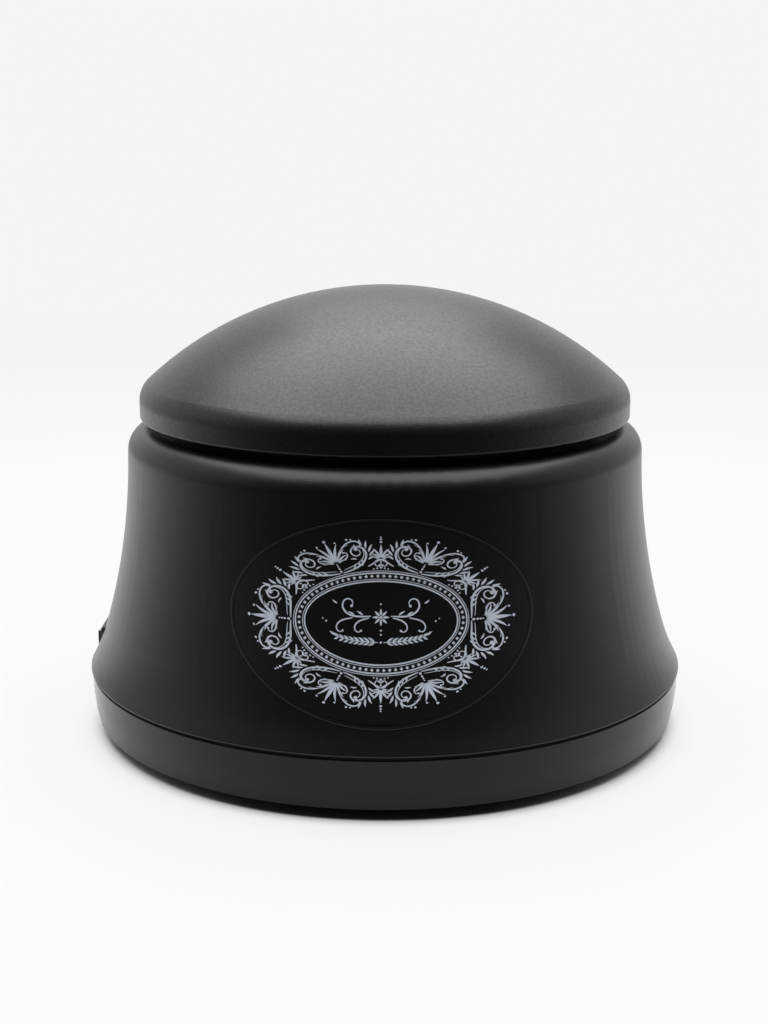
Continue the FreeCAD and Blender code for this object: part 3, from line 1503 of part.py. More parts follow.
def make_wiring():
    """Pairs of leads from the jack, the switch and the heater to the control board."""
    run = dim.lead_run.value
    land = board_top.value

    tag = (flat_reach - dim.jack_depth - dim.blade_length).value
    tag_z = jack_height.value
    block = (terminal_y + dim.terminal_depth / 2).value
    block_z = land + dim.terminal_height.value / 2
    pair = []
    for side, way in ((1, 2), (-1, 1)):
        x = dim.jack_tag_spacing.value / 2 * side
        way_x = terminal_x(way).value
        pair.append(lead([
            Vector(x, tag, tag_z),
            Vector(x, tag - run, tag_z),
            Vector((x + way_x) / 2, (tag + block) / 2, (tag_z + block_z) / 2 - dim.lead_sag.value),
            Vector(way_x, block + run, block_z),
            Vector(way_x, block, block_z),
        ]))
    keep_leads("jack_leads", pair)

    tag = (dim.case_depth + dim.blade_length - flat_reach).value
    tag_z = switch_height.value
    loop_z = tag_z + dim.lead_loop.value
    board_edge = -dim.board_length.value / 2
    inset = dim.lead_inset.value
    pair = []
    for side in (1, -1):
        y = dim.blade_spacing.value / 2 * side
        pair.append(lead([
            Vector(tag, y, tag_z),
            Vector(tag + run, y, tag_z),
            Vector(board_edge - inset, y, loop_z),
            Vector(board_edge + inset, y, loop_z),
            Vector(board_edge + inset, y, land),
        ]))
    keep_leads("switch_leads", pair)

    tag = -(dim.heater_radius + dim.heater_tag_reach / 2).value
    tag_z = heater_under.value
    land_y = -(dim.board_width / 2 - dim.terminal_setback).value
    pair = []
    for side in (1, -1):
        x = dim.heater_tag_spacing.value / 2 * side
        pair.append(lead([
            Vector(x, tag, tag_z),
            Vector(x, tag, tag_z - run),
            Vector(x, land_y, land + run),
            Vector(x, land_y, land),
        ]))
    keep_leads("heater_leads", pair)


# ---------------------------------------------------------------------------------------------------
# Build, check and write
# ---------------------------------------------------------------------------------------------------

shell = make_housing_shell()
make_upper_housing(shell)
make_nameplate(shell)
make_base_tray()
make_rubber_feet()
make_screws("housing_screws", corners_of(column_x, column_y), dim.tube_bore_top,
            dim.column_foot - dim.tube_bore_top + dim.screw_bite, dim.screw_radius)
make_switch_body()
make_power_rocker()
make_power_jack()
make_finger_deck()
make_sleeves()
make_lid_shell()
make_lid_liner()
make_lid_seal()
make_screws("lid_screws", ring_places(dim.lid_boss_circle, dim.lid_screw_count), liner_under,
            dim.liner_thickness + dim.lid_screw_bite, dim.screw_radius)
make_vapour_bowl()
make_chamber_gasket()
make_screws("bowl_screws", ring_places(bowl_screw_circle, dim.bowl_screw_count), flange_under,
            dim.bowl_wall + dim.gasket_thickness + dim.bowl_screw_bite - dim.screw_clearance,
            dim.screw_radius)
make_heater()
make_thermostat()
make_thermal_fuse()
make_control_board()
make_screws("board_screws", corners_of(post_x, post_y), board_top,
            dim.board_thickness + dim.board_screw_bite, dim.board_screw_radius,
            head=dim.board_screw_radius * 2, upwards=False)
make_wiring()
doc.recompute()


def check_document():
    """Stops the build at a failed object, or at a feature that adds or removes nothing."""
    for item in doc.Objects:
        if {"Invalid", "Error"} & set(item.State):
            raise RuntimeError(f"{item.Name} failed: {item.State}")
        if item.TypeId == "PartDesign::Body":
            volume = 0
            for feature in item.Group:
                if not feature.isDerivedFrom("PartDesign::Feature"):
                    continue
                changed = feature.Shape.Volume
                if abs(changed - volume) < 1e-6:
                    raise RuntimeError(f"{feature.Name} changes nothing")
                if feature.TypeId == "PartDesign::Pocket" and changed > volume:
                    raise RuntimeError(f"{feature.Name} adds material")
                volume = changed
    for node in nodes:
        if node.Shape.isNull() or not node.Shape.isValid() or not node.Shape.Solids:
            raise RuntimeError(f"{node.Label} has no valid solid")


check_document()
os.makedirs("parts", exist_ok=True)
for node in nodes:
    node.Shape.exportStep(os.path.join("parts", f"{node.Label}.step"))
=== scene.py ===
import bisect
import math

import bmesh
import bpy
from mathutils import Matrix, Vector
from mathutils.bvhtree import BVHTree


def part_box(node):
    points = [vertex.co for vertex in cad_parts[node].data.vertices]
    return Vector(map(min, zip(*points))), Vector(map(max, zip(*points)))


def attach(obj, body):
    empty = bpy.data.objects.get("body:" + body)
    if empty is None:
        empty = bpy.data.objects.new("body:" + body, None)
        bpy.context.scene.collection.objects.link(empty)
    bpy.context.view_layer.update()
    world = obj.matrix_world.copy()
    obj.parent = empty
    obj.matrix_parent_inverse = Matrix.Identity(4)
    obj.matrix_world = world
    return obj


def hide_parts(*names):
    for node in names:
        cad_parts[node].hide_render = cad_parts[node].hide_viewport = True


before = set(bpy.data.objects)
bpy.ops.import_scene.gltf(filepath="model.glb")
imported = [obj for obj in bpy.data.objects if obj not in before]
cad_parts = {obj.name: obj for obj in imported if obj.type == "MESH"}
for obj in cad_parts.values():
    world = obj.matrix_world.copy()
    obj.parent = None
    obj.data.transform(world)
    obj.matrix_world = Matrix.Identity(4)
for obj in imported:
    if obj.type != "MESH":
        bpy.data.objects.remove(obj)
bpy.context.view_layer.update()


# --------------------------------------------------------------------------------------------------
# Studio
# A pale table top that runs on into a pale background, under a wide softbox and two smaller ones
# further back. The side towards the viewer is kept dim, as in front of a light tent, so that black
# plastic stays black: the surroundings are darker there, and the table carries painted shade
# towards the front. A painted shadow darkens the table under the machine.
# --------------------------------------------------------------------------------------------------

class Value:
    """A number that varies over a surface: arithmetic on it adds the Math nodes for the result."""

    def __init__(self, finish, socket):
        self.finish = finish
        self.socket = socket

    def math(self, operation, first, second):
        return self.finish.node("ShaderNodeMath", {"operation": operation}, {0: first, 1: second})

    def __add__(self, other):
        return self.math("ADD", self, other)

    def __sub__(self, other):
        return self.math("SUBTRACT", self, other)

    def __rsub__(self, other):
        return self.math("SUBTRACT", other, self)

    def __mul__(self, other):
        return self.math("MULTIPLY", self, other)

    def __pow__(self, other):
        return self.math("POWER", self, other)

    __radd__ = __add__
    __rmul__ = __mul__

    def ramp(self, low, high, start=0.0, end=1.0):
        """Goes smoothly from start to end while this value goes from low to high."""
        return self.finish.node(
            "ShaderNodeMapRange", {"interpolation_type": "SMOOTHSTEP"},
            {"Value": self, "From Min": low, "From Max": high, "To Min": start, "To Max": end})

    def step(self, at, soft):
        """Goes from 0 to 1 round a place, over soft on either side; below 0 it goes from 1 to 0."""
        return self.ramp(at - soft, at + soft)


class Finish:
    """The node tree of a material, or of the world."""

    def __init__(self, name, owner=None):
        self.owner = owner or bpy.data.materials.new(name)
        self.owner.use_nodes = True
        self.tree = self.owner.node_tree

    def node(self, kind, settings=None, sockets=None, output=0):
        """Adds a node: its settings first, then a number or a link for each socket."""
        node = self.tree.nodes.new(kind)
        for name, setting in (settings or {}).items():
            setattr(node, name, setting)
        for name, value in (sockets or {}).items():
            self.feed(node.inputs[name], value)
        return Value(self, node.outputs[output])

    def feed(self, socket, value):
        if isinstance(value, Value):
            self.tree.links.new(value.socket, socket)
        elif socket.type == "RGBA":
            socket.default_value = (*value, 1)
        else:
            socket.default_value = value

    def surface(self, **sockets):
        """Sets sockets of the material's own shader, by their names in lower case."""
        shader = self.tree.nodes["Principled BSDF"]
        for name, value in sockets.items():
            self.feed(shader.inputs[SHADER_SOCKETS[name]], value)
        return self

    def place(self):
        """Where a point of the piece lies at rest, in metres."""
        return self.node("ShaderNodeTexCoord", output="Object")

    def along(self, axis):
        """The place along one axis."""
        return self.node("ShaderNodeSeparateXYZ", sockets={"Vector": self.place()}, output=axis)

    def noise(self, size, detail, roughness=0.5, place=None):
        """Cloudy noise from 0 to 1, with lumps about as large as size."""
        return self.node("ShaderNodeTexNoise", sockets={
            "Vector": place or self.place(), "Scale": 1 / size, "Detail": detail,
            "Roughness": roughness})

    def mix(self, factor, first, second):
        """A colour between two colours. A Mix node has them at 6 and 7, and its result at 2."""
        return self.node("ShaderNodeMix", {"data_type": "RGBA"},
                         {0: factor, 6: first, 7: second}, 2)

    def bump(self, height, depth):
        """Relief as deep as depth, in metres, where height goes from 0 to 1."""
        return self.node("ShaderNodeBump", sockets={"Height": height, "Distance": depth})


SHADER_SOCKETS = {
    "base": "Base Color", "roughness": "Roughness", "metallic": "Metallic", "normal": "Normal",
    "specular": "Specular IOR Level", "coat": "Coat Weight", "coat_roughness": "Coat Roughness",
    "subsurface": "Subsurface Weight",
}

CAMERA_REACH = 0.5424       # from the machine's axis
CAMERA_HEIGHT = 0.1961
CAMERA_TILT = 13.08         # degrees down from level
CAMERA_SIDE = math.radians(0.75)    # to the right of the front
CAMERA_LENS = 57.4          # mm
CAMERA_SHIFT = -0.0009      # of the frame

camera = bpy.data.objects.new("camera", bpy.data.cameras.new("camera"))
bpy.context.scene.collection.objects.link(camera)
camera.location = (CAMERA_REACH * math.sin(CAMERA_SIDE), -CAMERA_REACH * math.cos(CAMERA_SIDE),
                   CAMERA_HEIGHT)
camera.rotation_euler = (math.radians(90 - CAMERA_TILT), 0, CAMERA_SIDE)
camera.data.lens = CAMERA_LENS
camera.data.shift_x = CAMERA_SHIFT
bpy.context.scene.camera = camera
bpy.context.scene.view_settings.view_transform = "Standard"


def on_rays(finish, kind):
    """1 for rays of one kind, such as "Camera" for those that show what is seen, and else 0."""
    return finish.node("ShaderNodeLightPath", output=f"Is {kind} Ray")


BACKGROUND = (0.91, 0.91, 0.915)
FILL = (0.42, 0.42, 0.43)   # how the surroundings light matt surfaces
DIM_SIDE = 0.02             # brightness of the surroundings behind the camera
BRIGHT_SIDE = 1.05          # and of those behind the machine
BRIGHT_LATE = 1.6           # above 1, it rises late on the way from the one to the other
FLANK_GLOW = 0.3            # what the surroundings to the left and right have on top of that
FLANK_START = (-0.75, -0.15)    # where the flanks start, from -1 in front to 1 at the back,
FLANK_END = (0.1, 0.6)          # where they end,
FLANK_RISE = (-0.05, 0.25)      # and how high up, from 0 for level to 1 for straight above

world = bpy.data.worlds.new("surroundings")
bpy.context.scene.world = world
sky = Finish("surroundings", world)
direction = sky.node("ShaderNodeTexCoord", output="Generated")
away, up = (sky.node("ShaderNodeSeparateXYZ", sockets={"Vector": direction}, output=axis)
            for axis in ("Y", "Z"))
flanks = up.ramp(*FLANK_RISE) * (away.ramp(*FLANK_START) - away.ramp(*FLANK_END))
side = DIM_SIDE + ((away + 1) * 0.5) ** BRIGHT_LATE * (BRIGHT_SIDE - DIM_SIDE)
reflected = sky.mix(side + FLANK_GLOW * flanks, (0, 0, 0), BACKGROUND)
glossy, clear = on_rays(sky, "Glossy"), on_rays(sky, "Transmission")
lighting = sky.mix(glossy.math("MAXIMUM", glossy, clear), FILL, reflected)
sky.feed(sky.tree.nodes["Background"].inputs["Color"],
         sky.mix(on_rays(sky, "Camera"), lighting, BACKGROUND))


TABLE_RADIUS = 3.0
TABLE_CORNERS = 96
TABLE_COLOUR = (0.86, 0.86, 0.865)
TABLE_MOTTLE = 0.97         # brightness of the darker of its two shades
# The table is seen pale all over, but to all rays except the camera's it carries painted shade that
# darkens it towards the front, so the machine mirrors it darker there. Each ramp has the two
# places, in metres, between which a value changes, and then from what to what.
MIRRORED = ((-0.30, -0.12, 0.02, 0.49), (-0.13, -0.06, 0, 0.20), (-0.06, 0.09, 0, 0.31))
FAR_OUT = (0.20, 0.38)      # further out the painted shade deepens as well,
FAR_DIMMING = 0.3
FAR_BACK = (0.05, 0.30)     # but not towards the back
SIDES = (-0.097, -0.045)    # from the front of the machine to its sides
SHADE_RIM = (0.0965, 0.0985)    # where the painted shadow under the machine ends
SHADE_FRONT = 0.94          # how deep it is at the front,
SHADE_LOSS = 0.62           # how much less deep at the sides and behind,
SHADE_INSET = 0.0010        # and how much further in it ends there
# how it fades into the plain background, away from the machine
INTO_BACKGROUND = ((0.0978, 0.1035, 0, 0.77), (0.102, 0.128, 0, 0.08), (0.35, 1.4, 0, 0.15))

rim = [(TABLE_RADIUS * math.cos(2 * math.pi * k / TABLE_CORNERS),
        TABLE_RADIUS * math.sin(2 * math.pi * k / TABLE_CORNERS), 0) for k in range(TABLE_CORNERS)]
mesh = bpy.data.meshes.new("table_top")
mesh.from_pydata(rim, [], [list(range(TABLE_CORNERS))])
table_top = bpy.data.objects.new("table_top", mesh)
bpy.context.scene.collection.objects.link(table_top)

table = Finish("table_top")
seen = on_rays(table, "Camera")
cloth = table.noise(0.0012, 3)
back = table.along("Y")
sideways = back.ramp(*SIDES)
distance = SHADE_INSET * sideways + table.node(
    "ShaderNodeVectorMath", {"operation": "LENGTH"}, {0: table.place()}, "Value")
# Painted shadow: the table's colour is darkened under the machine's rim, most at the front.
painted_shadow = 1 - (SHADE_FRONT - SHADE_LOSS * sideways) * (1 - distance.ramp(*SHADE_RIM))
# Painted shade: for all but camera rays, the table's colour darkens towards the front and further
# out.
painted_shade = sum(back.ramp(*part) for part in MIRRORED) \
    * (1 - FAR_DIMMING * distance.ramp(*FAR_OUT) * (1 - back.ramp(*FAR_BACK)))
tone = painted_shade.math("MAXIMUM", painted_shade, seen) * painted_shadow
pale = table.mix(cloth, [TABLE_MOTTLE * c for c in TABLE_COLOUR], TABLE_COLOUR)
table.surface(base=table.mix(tone, (0, 0, 0), pale), roughness=0.6, specular=0.2)
fade = sum(distance.ramp(*part) for part in INTO_BACKGROUND)
glow = table.node("ShaderNodeEmission", sockets={"Color": BACKGROUND, "Strength": 1.0})
principled = Value(table, table.tree.nodes["Principled BSDF"].outputs[0])
blend = table.node("ShaderNodeMixShader", sockets={0: fade * seen, 1: principled, 2: glow})
table.feed(table.tree.nodes["Material Output"].inputs["Surface"], blend)
table_top.data.materials.append(table.owner)


def softbox(name, place, aim, width, depth, radiance):
    """A rectangular lamp that looks equally bright from all sides."""
    lamp = bpy.data.lights.new(name, "AREA")
    lamp.shape = "RECTANGLE"
    lamp.size = width
    lamp.size_y = depth
    lamp.energy = radiance * math.pi * width * depth
    holder = bpy.data.objects.new(name, lamp)
    bpy.context.scene.collection.objects.link(holder)
    holder.location = place
    holder.visible_camera = False
    holder.rotation_euler = (Vector(aim) - Vector(place)).to_track_quat("-Z", "Y").to_euler()


softbox("overhead_softbox", place=(0, 0, 0.95), aim=(0, 0, 0), width=1.5, depth=1.3, radiance=2.7)
softbox("middle_softbox", place=(0, 0.31, 0.94), aim=(0, 0.31, 0), width=0.8, depth=0.38,
        radiance=0.85)
softbox("back_softbox", place=(0, 0.85, 0.95), aim=(0, 0, 0.10), width=0.7, depth=0.5,
        radiance=1.25)


# --------------------------------------------------------------------------------------------------
# Lid and bell
# Two ABS mouldings with a soft-touch black lacquer, whose fine grain shows in the highlights. The
# lid stands loose in the well, and the bell carries everything else.
# --------------------------------------------------------------------------------------------------

def dress(finish, *names):
    """Gives CAD nodes a finish."""
    for name in names:
        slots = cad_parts[name].data.materials
        slots.clear()
        slots.append(finish.owner)


CLOUD_SIZE = 0.035
GRAIN_SIZE = 0.0005
SPECK_SIZE = 0.0016
GLINT_SIZE = 0.0009
GRAIN_DEPTH = 0.00003       # on the lacquered mouldings
COAT_ROUGHNESS = 0.33


def grain_relief(finish, depth):
    """The fine grain of lacquer or acrylic, with larger specks in it."""
    specks = finish.noise(SPECK_SIZE, 2)
    return finish.bump(finish.noise(GRAIN_SIZE, 2) + 0.6 * specks, depth)


def soft_black(finish, base, roughness, grain_depth, sparkle):
    """Matt black: faint clouds in its gloss, and a fine grain that glints a little."""
    clouds = finish.noise(CLOUD_SIZE, 3)
    grain = finish.noise(GRAIN_SIZE, 2)
    glints = finish.noise(GLINT_SIZE, 3, 0.7).ramp(0.38, 0.62)
    return finish.surface(
        base=base, roughness=roughness + 0.05 * clouds + 0.08 * (grain - 0.5),
        coat=sparkle * glints, coat_roughness=COAT_ROUGHNESS,
        normal=grain_relief(finish, grain_depth))


lid = Finish("lid_lacquer")
cloudy = lid.mix(lid.noise(CLOUD_SIZE, 3), (0.0014, 0.0014, 0.0015), (0.00224, 0.00224, 0.0024))
dress(soft_black(lid, cloudy, roughness=0.33, grain_depth=GRAIN_DEPTH, sparkle=0.25), "lid_shell")

LIP_START = (0.02055, 0.02065)    # heights between which a painted highlight along the lip's edge starts,
LIP_END = (0.02110, 0.02095)      # where it ends,
UNDERSIDE = (0.02066, 0.02050)    # and where the dull underside starts
bell = Finish("bell_lacquer")
height = bell.along("Z")
# Painted highlight: a paler band of colour along the lip's edge, where it catches the light.
painted_lip_highlight = height.ramp(*LIP_START) * height.ramp(*LIP_END)
below = height.ramp(*UNDERSIDE)
bell.surface(
    base=bell.mix(painted_lip_highlight, (0.0012, 0.0012, 0.0013), (0.032, 0.032, 0.033)), specular=0.45,
    roughness=0.35 + 0.6 * below, coat=0.06 * (1 - below), coat_roughness=COAT_ROUGHNESS,
    normal=grain_relief(bell, GRAIN_DEPTH))


def replace_by_copy(node, name, finish, reshape=None):
    """Replaces a moulding of the housing by a copy, reshaped if need be, whose normals follow its
    large faces, so that slivers leave no mark in the reflections."""
    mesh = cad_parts[node].data.copy()
    mesh.name = name
    mesh.materials.clear()
    mesh.materials.append(finish.owner)
    if reshape:
        for vertex in mesh.vertices:
            vertex.co = reshape(vertex.co)
        mesh.update()
    leaning = [Vector() for vertex in mesh.vertices]
    for face in mesh.polygons:
        for corner in face.vertices:
            leaning[corner] += face.normal * face.area
    mesh.normals_split_custom_set_from_vertices([normal.normalized() for normal in leaning])
    copy = bpy.data.objects.new(name, mesh)
    bpy.context.scene.collection.objects.link(copy)
    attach(copy, "housing")
    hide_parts(node)


replace_by_copy("upper_housing", "bell", bell)


# --------------------------------------------------------------------------------------------------
# Nameplate and its ornament
# An oval plate of black acrylic, glued into the front of the bell and grooved near its edge. Leafy
# scrollwork round a beaded oval with a small flourish is screen-printed on it in pale silver ink.
# --------------------------------------------------------------------------------------------------

RIM_HIGHLIGHT = (0.970, 0.990)     # the square of how far out the painted highlight along the rim starts, with 1 at the plate's edge
plate_low, plate_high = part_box("nameplate")
wide, high = (plate_high[0] - plate_low[0]) / 2, (plate_high[2] - plate_low[2]) / 2
acrylic = Finish("nameplate_acrylic")
x, y = acrylic.along("X") * (1 / wide), (acrylic.along("Z") - (plate_low[2] + high)) * (1 / high)
# Painted highlight: a paler band of colour along the plate's rim, where its bevel catches the
# light.
painted_rim_highlight = (x * x + y * y).ramp(*RIM_HIGHLIGHT)
black = acrylic.mix(painted_rim_highlight, (0.0034, 0.0034, 0.0036), (0.022, 0.022, 0.023))
dress(soft_black(acrylic, black, roughness=0.3, grain_depth=0.000008, sparkle=0.06), "nameplate")

MM = 0.001                  # the ornament is drawn in mm
INK_RISE = 0.00005          # how far the ink stands above the face that carries it,
INK_SINK = 0.00004          # and how far it reaches below, so that no gap is left
FINEST = 0.02               # half width of a stroke where it ends in a point


class Ink:
    """Printed strokes on one face of a CAD node: thin closed ribbons that follow its surface."""

    def __init__(self, node, origin, right, towards):
        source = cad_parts[node].data
        self.face = BVHTree.FromPolygons(
            [v.co for v in source.vertices], [p.vertices for p in source.polygons])
        self.origin = Vector(origin)
        self.right = Vector(right)
        self.towards = Vector(towards)
        self.mesh = bmesh.new()

    def spot(self, point):
        """The place on the face, and its normal, at a point in mm to the right and up."""
        start = self.origin + self.right * point[0] * MM + Vector((0, 0, point[1] * MM))
        place, normal, _, _ = self.face.ray_cast(start, self.towards)
        return place, normal

    def ribbon(self, rows, closed=False):
        """A ribbon whose two edges go through the rows' pairs of points."""
        loops = []
        for pair in rows:
            (a, up_a), (b, up_b) = (self.spot(point) for point in pair)
            corners = (a + up_a * INK_RISE, b + up_b * INK_RISE,
                       b - up_b * INK_SINK, a - up_a * INK_SINK)
            loops.append([self.mesh.verts.new(corner) for corner in corners])
        for this, following in zip(loops, loops[1:] + (loops[:1] if closed else [])):
            for k in range(4):
                j = (k + 1) % 4
                self.mesh.faces.new((this[k], this[j], following[j], following[k]))
        if not closed:
            self.mesh.faces.new(loops[0])
            self.mesh.faces.new(loops[-1])

    def piece(self, name, finish, body, slot):
        """Turns all that was printed into one piece."""
        bmesh.ops.recalc_face_normals(self.mesh, faces=self.mesh.faces)
        return add_piece(name, self.mesh, finish, body)


def add_piece(name, mesh, finish, body):
    """Turns a bmesh into a piece that rides on a body."""
    data = bpy.data.meshes.new(name)
    mesh.to_mesh(data)
    mesh.free()
    data.materials.append(finish.owner)
    piece = bpy.data.objects.new(name, data)
    bpy.context.scene.collection.objects.link(piece)
    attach(piece, body)
    return piece


STEPS_PER_MM = 2            # along a stroke
FEWEST_STEPS = 6
THICK_EARLY = 0.8           # below 1, a stroke is thickest before the middle of its length
BEND_LATE = 1.7             # above 1, most of its change of bend comes near its end
VOLUTE_START = 0.12         # half width of a volute where it starts


def scroll(x, y, heading, length, start_bend, end_bend, thin, thick):
    """A stroke that bends more and more on its way, as its rows of two edge points. Its bends are
    in radians per mm, and thin and thick are half widths."""
    steps = max(FEWEST_STEPS, round(length * STEPS_PER_MM))
    pace = length / steps
    angle = math.radians(heading)
    rows = []
    for k in range(steps + 1):
        way = k / steps
        half = thin + (thick - thin) * math.sin(math.pi * way ** THICK_EARLY)
        out_x, out_y = -math.sin(angle) * half, math.cos(angle) * half
        rows.append(((x + out_x, y + out_y), (x - out_x, y - out_y)))
        angle += (start_bend + (end_bend - start_bend) * way ** BEND_LATE) * pace
        x += math.cos(angle) * pace
        y += math.sin(angle) * pace
    return rows


def leaf(x, y, heading, length, bend, thick):
    """A stroke with two pointed ends."""
    return scroll(x, y, heading, length, bend, bend * 2, FINEST, thick)


def bead(x, y, radius, steps=8):
    """A dot, or with two steps a diamond."""
    rows = []
    for k in range(steps + 1):
        angle = math.pi * k / steps
        half = max(radius * math.sin(angle), FINEST)
        across = x - radius * math.cos(angle)
        rows.append(((across, y + half), (across, y - half)))
    return rows


def volute(x, y, heading, length, start_bend, end_bend, thick, bulb):
    """A scroll that ends in a bead."""
    rows = scroll(x, y, heading, length, start_bend, end_bend, VOLUTE_START, thick)
    (ax, ay), (bx, by) = rows[-1]
    return [rows, bead((ax + bx) / 2, (ay + by) / 2, bulb)]


# The garland is drawn on a straight band, x along it and y outwards, and laid round the oval.
GARLAND_INSIDE = (25.7, 15.0)    # half axes of the band's inner edge
GARLAND_SPREAD = (13.3, 10.3)    # how far the band reaches out at its ends and at its top
BAND_HEIGHT = 12.0
TURN_STEPS = 720


def on_oval(turn, height):
    """The point of the plate at a turn round the oval and a height on the straight band."""
    share = height / BAND_HEIGHT
    return ((GARLAND_INSIDE[0] + GARLAND_SPREAD[0] * share) * math.cos(turn),
            (GARLAND_INSIDE[1] + GARLAND_SPREAD[1] * share) * math.sin(turn))


turns = [2 * math.pi * k / TURN_STEPS for k in range(TURN_STEPS + 1)]
lengths = [0.0]
for before, after in zip(turns, turns[1:]):
    lengths.append(lengths[-1] + math.dist(on_oval(before, BAND_HEIGHT / 2),
                                           on_oval(after, BAND_HEIGHT / 2)))
band_length = lengths[-1]


def garland(x, y):
    """Where a point of the straight band comes to lie on the plate."""
    x %= band_length
    k = min(bisect.bisect_right(lengths, x), TURN_STEPS) - 1
    share = (x - lengths[k]) / (lengths[k + 1] - lengths[k])
    return on_oval(turns[k] + (turns[k + 1] - turns[k]) * share, y)


large_middle = [
    leaf(0, 4.6, 90, 6.9, 0, 0.5),
    bead(0, 1.2, 0.5, 2), bead(0, 2.25, 0.34), bead(0, 3.05, 0.28), bead(0, 3.7, 0.22),
    bead(0, 12.0, 0.36),
]
large_half = [
    *volute(0.5, 0.6, 5, 24.0, 0.02, 1.02, 0.3, 0.5),
    scroll(1.2, 1.5, 12, 15.0, 0.0, 0.72, 0.05, 0.12),
    *volute(9.6, 1.7, 16, 9.5, 0.16, -1.5, 0.26, 0.36),
    *volute(3.2, 8.6, 44, 8.4, -0.04, -1.35, 0.22, 0.34),
    *volute(1.1, 4.3, 22, 5.6, -0.10, 1.75, 0.2, 0.32),
    scroll(0.9, 5.5, 62, 6.2, -0.06, -0.3, 0.05, 0.1),
    leaf(0.25, 4.6, 78, 6.4, -0.04, 0.36),
    leaf(0.45, 4.5, 64, 5.3, -0.08, 0.34),
    leaf(0.65, 4.3, 50, 4.2, -0.13, 0.3),
    leaf(0.8, 4.1, 36, 3.0, -0.2, 0.26),
    leaf(4.6, 1.2, 44, 2.2, 0.2, 0.26),
    leaf(6.2, 1.4, 50, 2.5, 0.22, 0.28),
    leaf(7.8, 1.9, 64, 2.6, 0.22, 0.3),
    leaf(10.0, 4.0, 40, 2.6, -0.1, 0.3),
    leaf(10.5, 5.2, 58, 2.9, -0.1, 0.32),
    leaf(10.4, 6.5, 76, 2.9, -0.1, 0.32),
    leaf(9.8, 7.7, 94, 2.7, -0.1, 0.3),
    leaf(8.8, 8.7, 108, 2.4, -0.08, 0.28),
    leaf(6.6, 4.4, 150, 2.0, 0.3, 0.24),
    leaf(5.8, 8.2, 20, 1.8, 0.4, 0.22),
    bead(12.6, 0.9, 0.3), bead(11.4, 0.7, 0.24), bead(5.4, 11.3, 0.3), bead(6.4, 11.2, 0.22),
    bead(2.3, 10.9, 0.26), bead(12.9, 5.9, 0.24),
]
small_middle = [
    leaf(0, 4.4, 90, 4.6, 0, 0.42),
    bead(0, 1.2, 0.5, 2), bead(0, 2.2, 0.34), bead(0, 3.0, 0.28), bead(0, 3.7, 0.22),
    bead(0, 9.8, 0.42, 2), bead(0, 10.7, 0.28), bead(0, 11.4, 0.22),
]
small_half = [
    leaf(0.25, 4.4, 72, 3.8, -0.1, 0.32),
    leaf(0.45, 4.3, 52, 2.8, -0.14, 0.28),
    leaf(0.6, 4.1, 32, 1.9, -0.2, 0.22),
]

PLATE_MIDDLE = 0.0579       # height of the oval's centre, in metres
IN_FRONT = -0.2             # where the print is cast from, towards the plate
UNITS = 6                   # large motifs round the oval, with a small one after each
print_ink = Ink("nameplate", origin=(0, IN_FRONT, PLATE_MIDDLE), right=(1, 0, 0),
                towards=(0, 1, 0))
for unit in range(UNITS):
    for shift, middle, half in ((0.0, large_middle, large_half), (0.5, small_middle, small_half)):
        start = (unit + shift) * band_length / UNITS
        for mark in middle:
            print_ink.ribbon([[garland(start + x, y) for x, y in pair] for pair in mark])
        for mirror in (1, -1):
            for mark in half:
                print_ink.ribbon(
                    [[garland(start + x * mirror, y) for x, y in pair] for pair in mark])

# Two double lines run round the oval, with a row of diamonds between them. Each line has its half
# axes and its half width.
OVAL_LINES = ((22.3, 12.0, 0.2), (22.9, 12.6, 0.09), (25.0, 14.4, 0.2), (25.6, 15.0, 0.09))
OVAL_STEPS = 144
DIAMONDS = 72
DIAMOND_OVAL = (23.95, 13.5)
DIAMOND_RADIUS = 0.5
for wide, high, half in OVAL_LINES:
    rows = []
    for k in range(OVAL_STEPS):
        turn = 2 * math.pi * k / OVAL_STEPS
        rows.append([((wide + grow) * math.cos(turn), (high + grow) * math.sin(turn))
                     for grow in (-half, half)])
    print_ink.ribbon(rows, closed=True)
shrink = [half / inside for half, inside in zip(DIAMOND_OVAL, GARLAND_INSIDE)]
for k in range(DIAMONDS):
    x, y = garland((k + 0.5) * band_length / DIAMONDS, 0)
    print_ink.ribbon(bead(x * shrink[0], y * shrink[1], DIAMOND_RADIUS, 2))

# The middle of the oval has a rosette between two pairs of scrolls, over two laurel stems. What
# stands in its centre is drawn once, and the rest of the flourish on the right and on the left.
ROSETTE_HEIGHT = 1.6        # above the oval's centre
PETAL_START = 0.5           # from the rosette's middle
LAUREL_PACE = 3             # steps of the stem from leaf to leaf
LAUREL_LEAF = 2.3           # length of its first leaf,
LAUREL_TAPER = 0.09         # and how much shorter each next one is


def petal(heading):
    turn = math.radians(heading)
    return leaf(PETAL_START * math.cos(turn), ROSETTE_HEIGHT + PETAL_START * math.sin(turn),
                heading, 2.0, 0, 0.34)


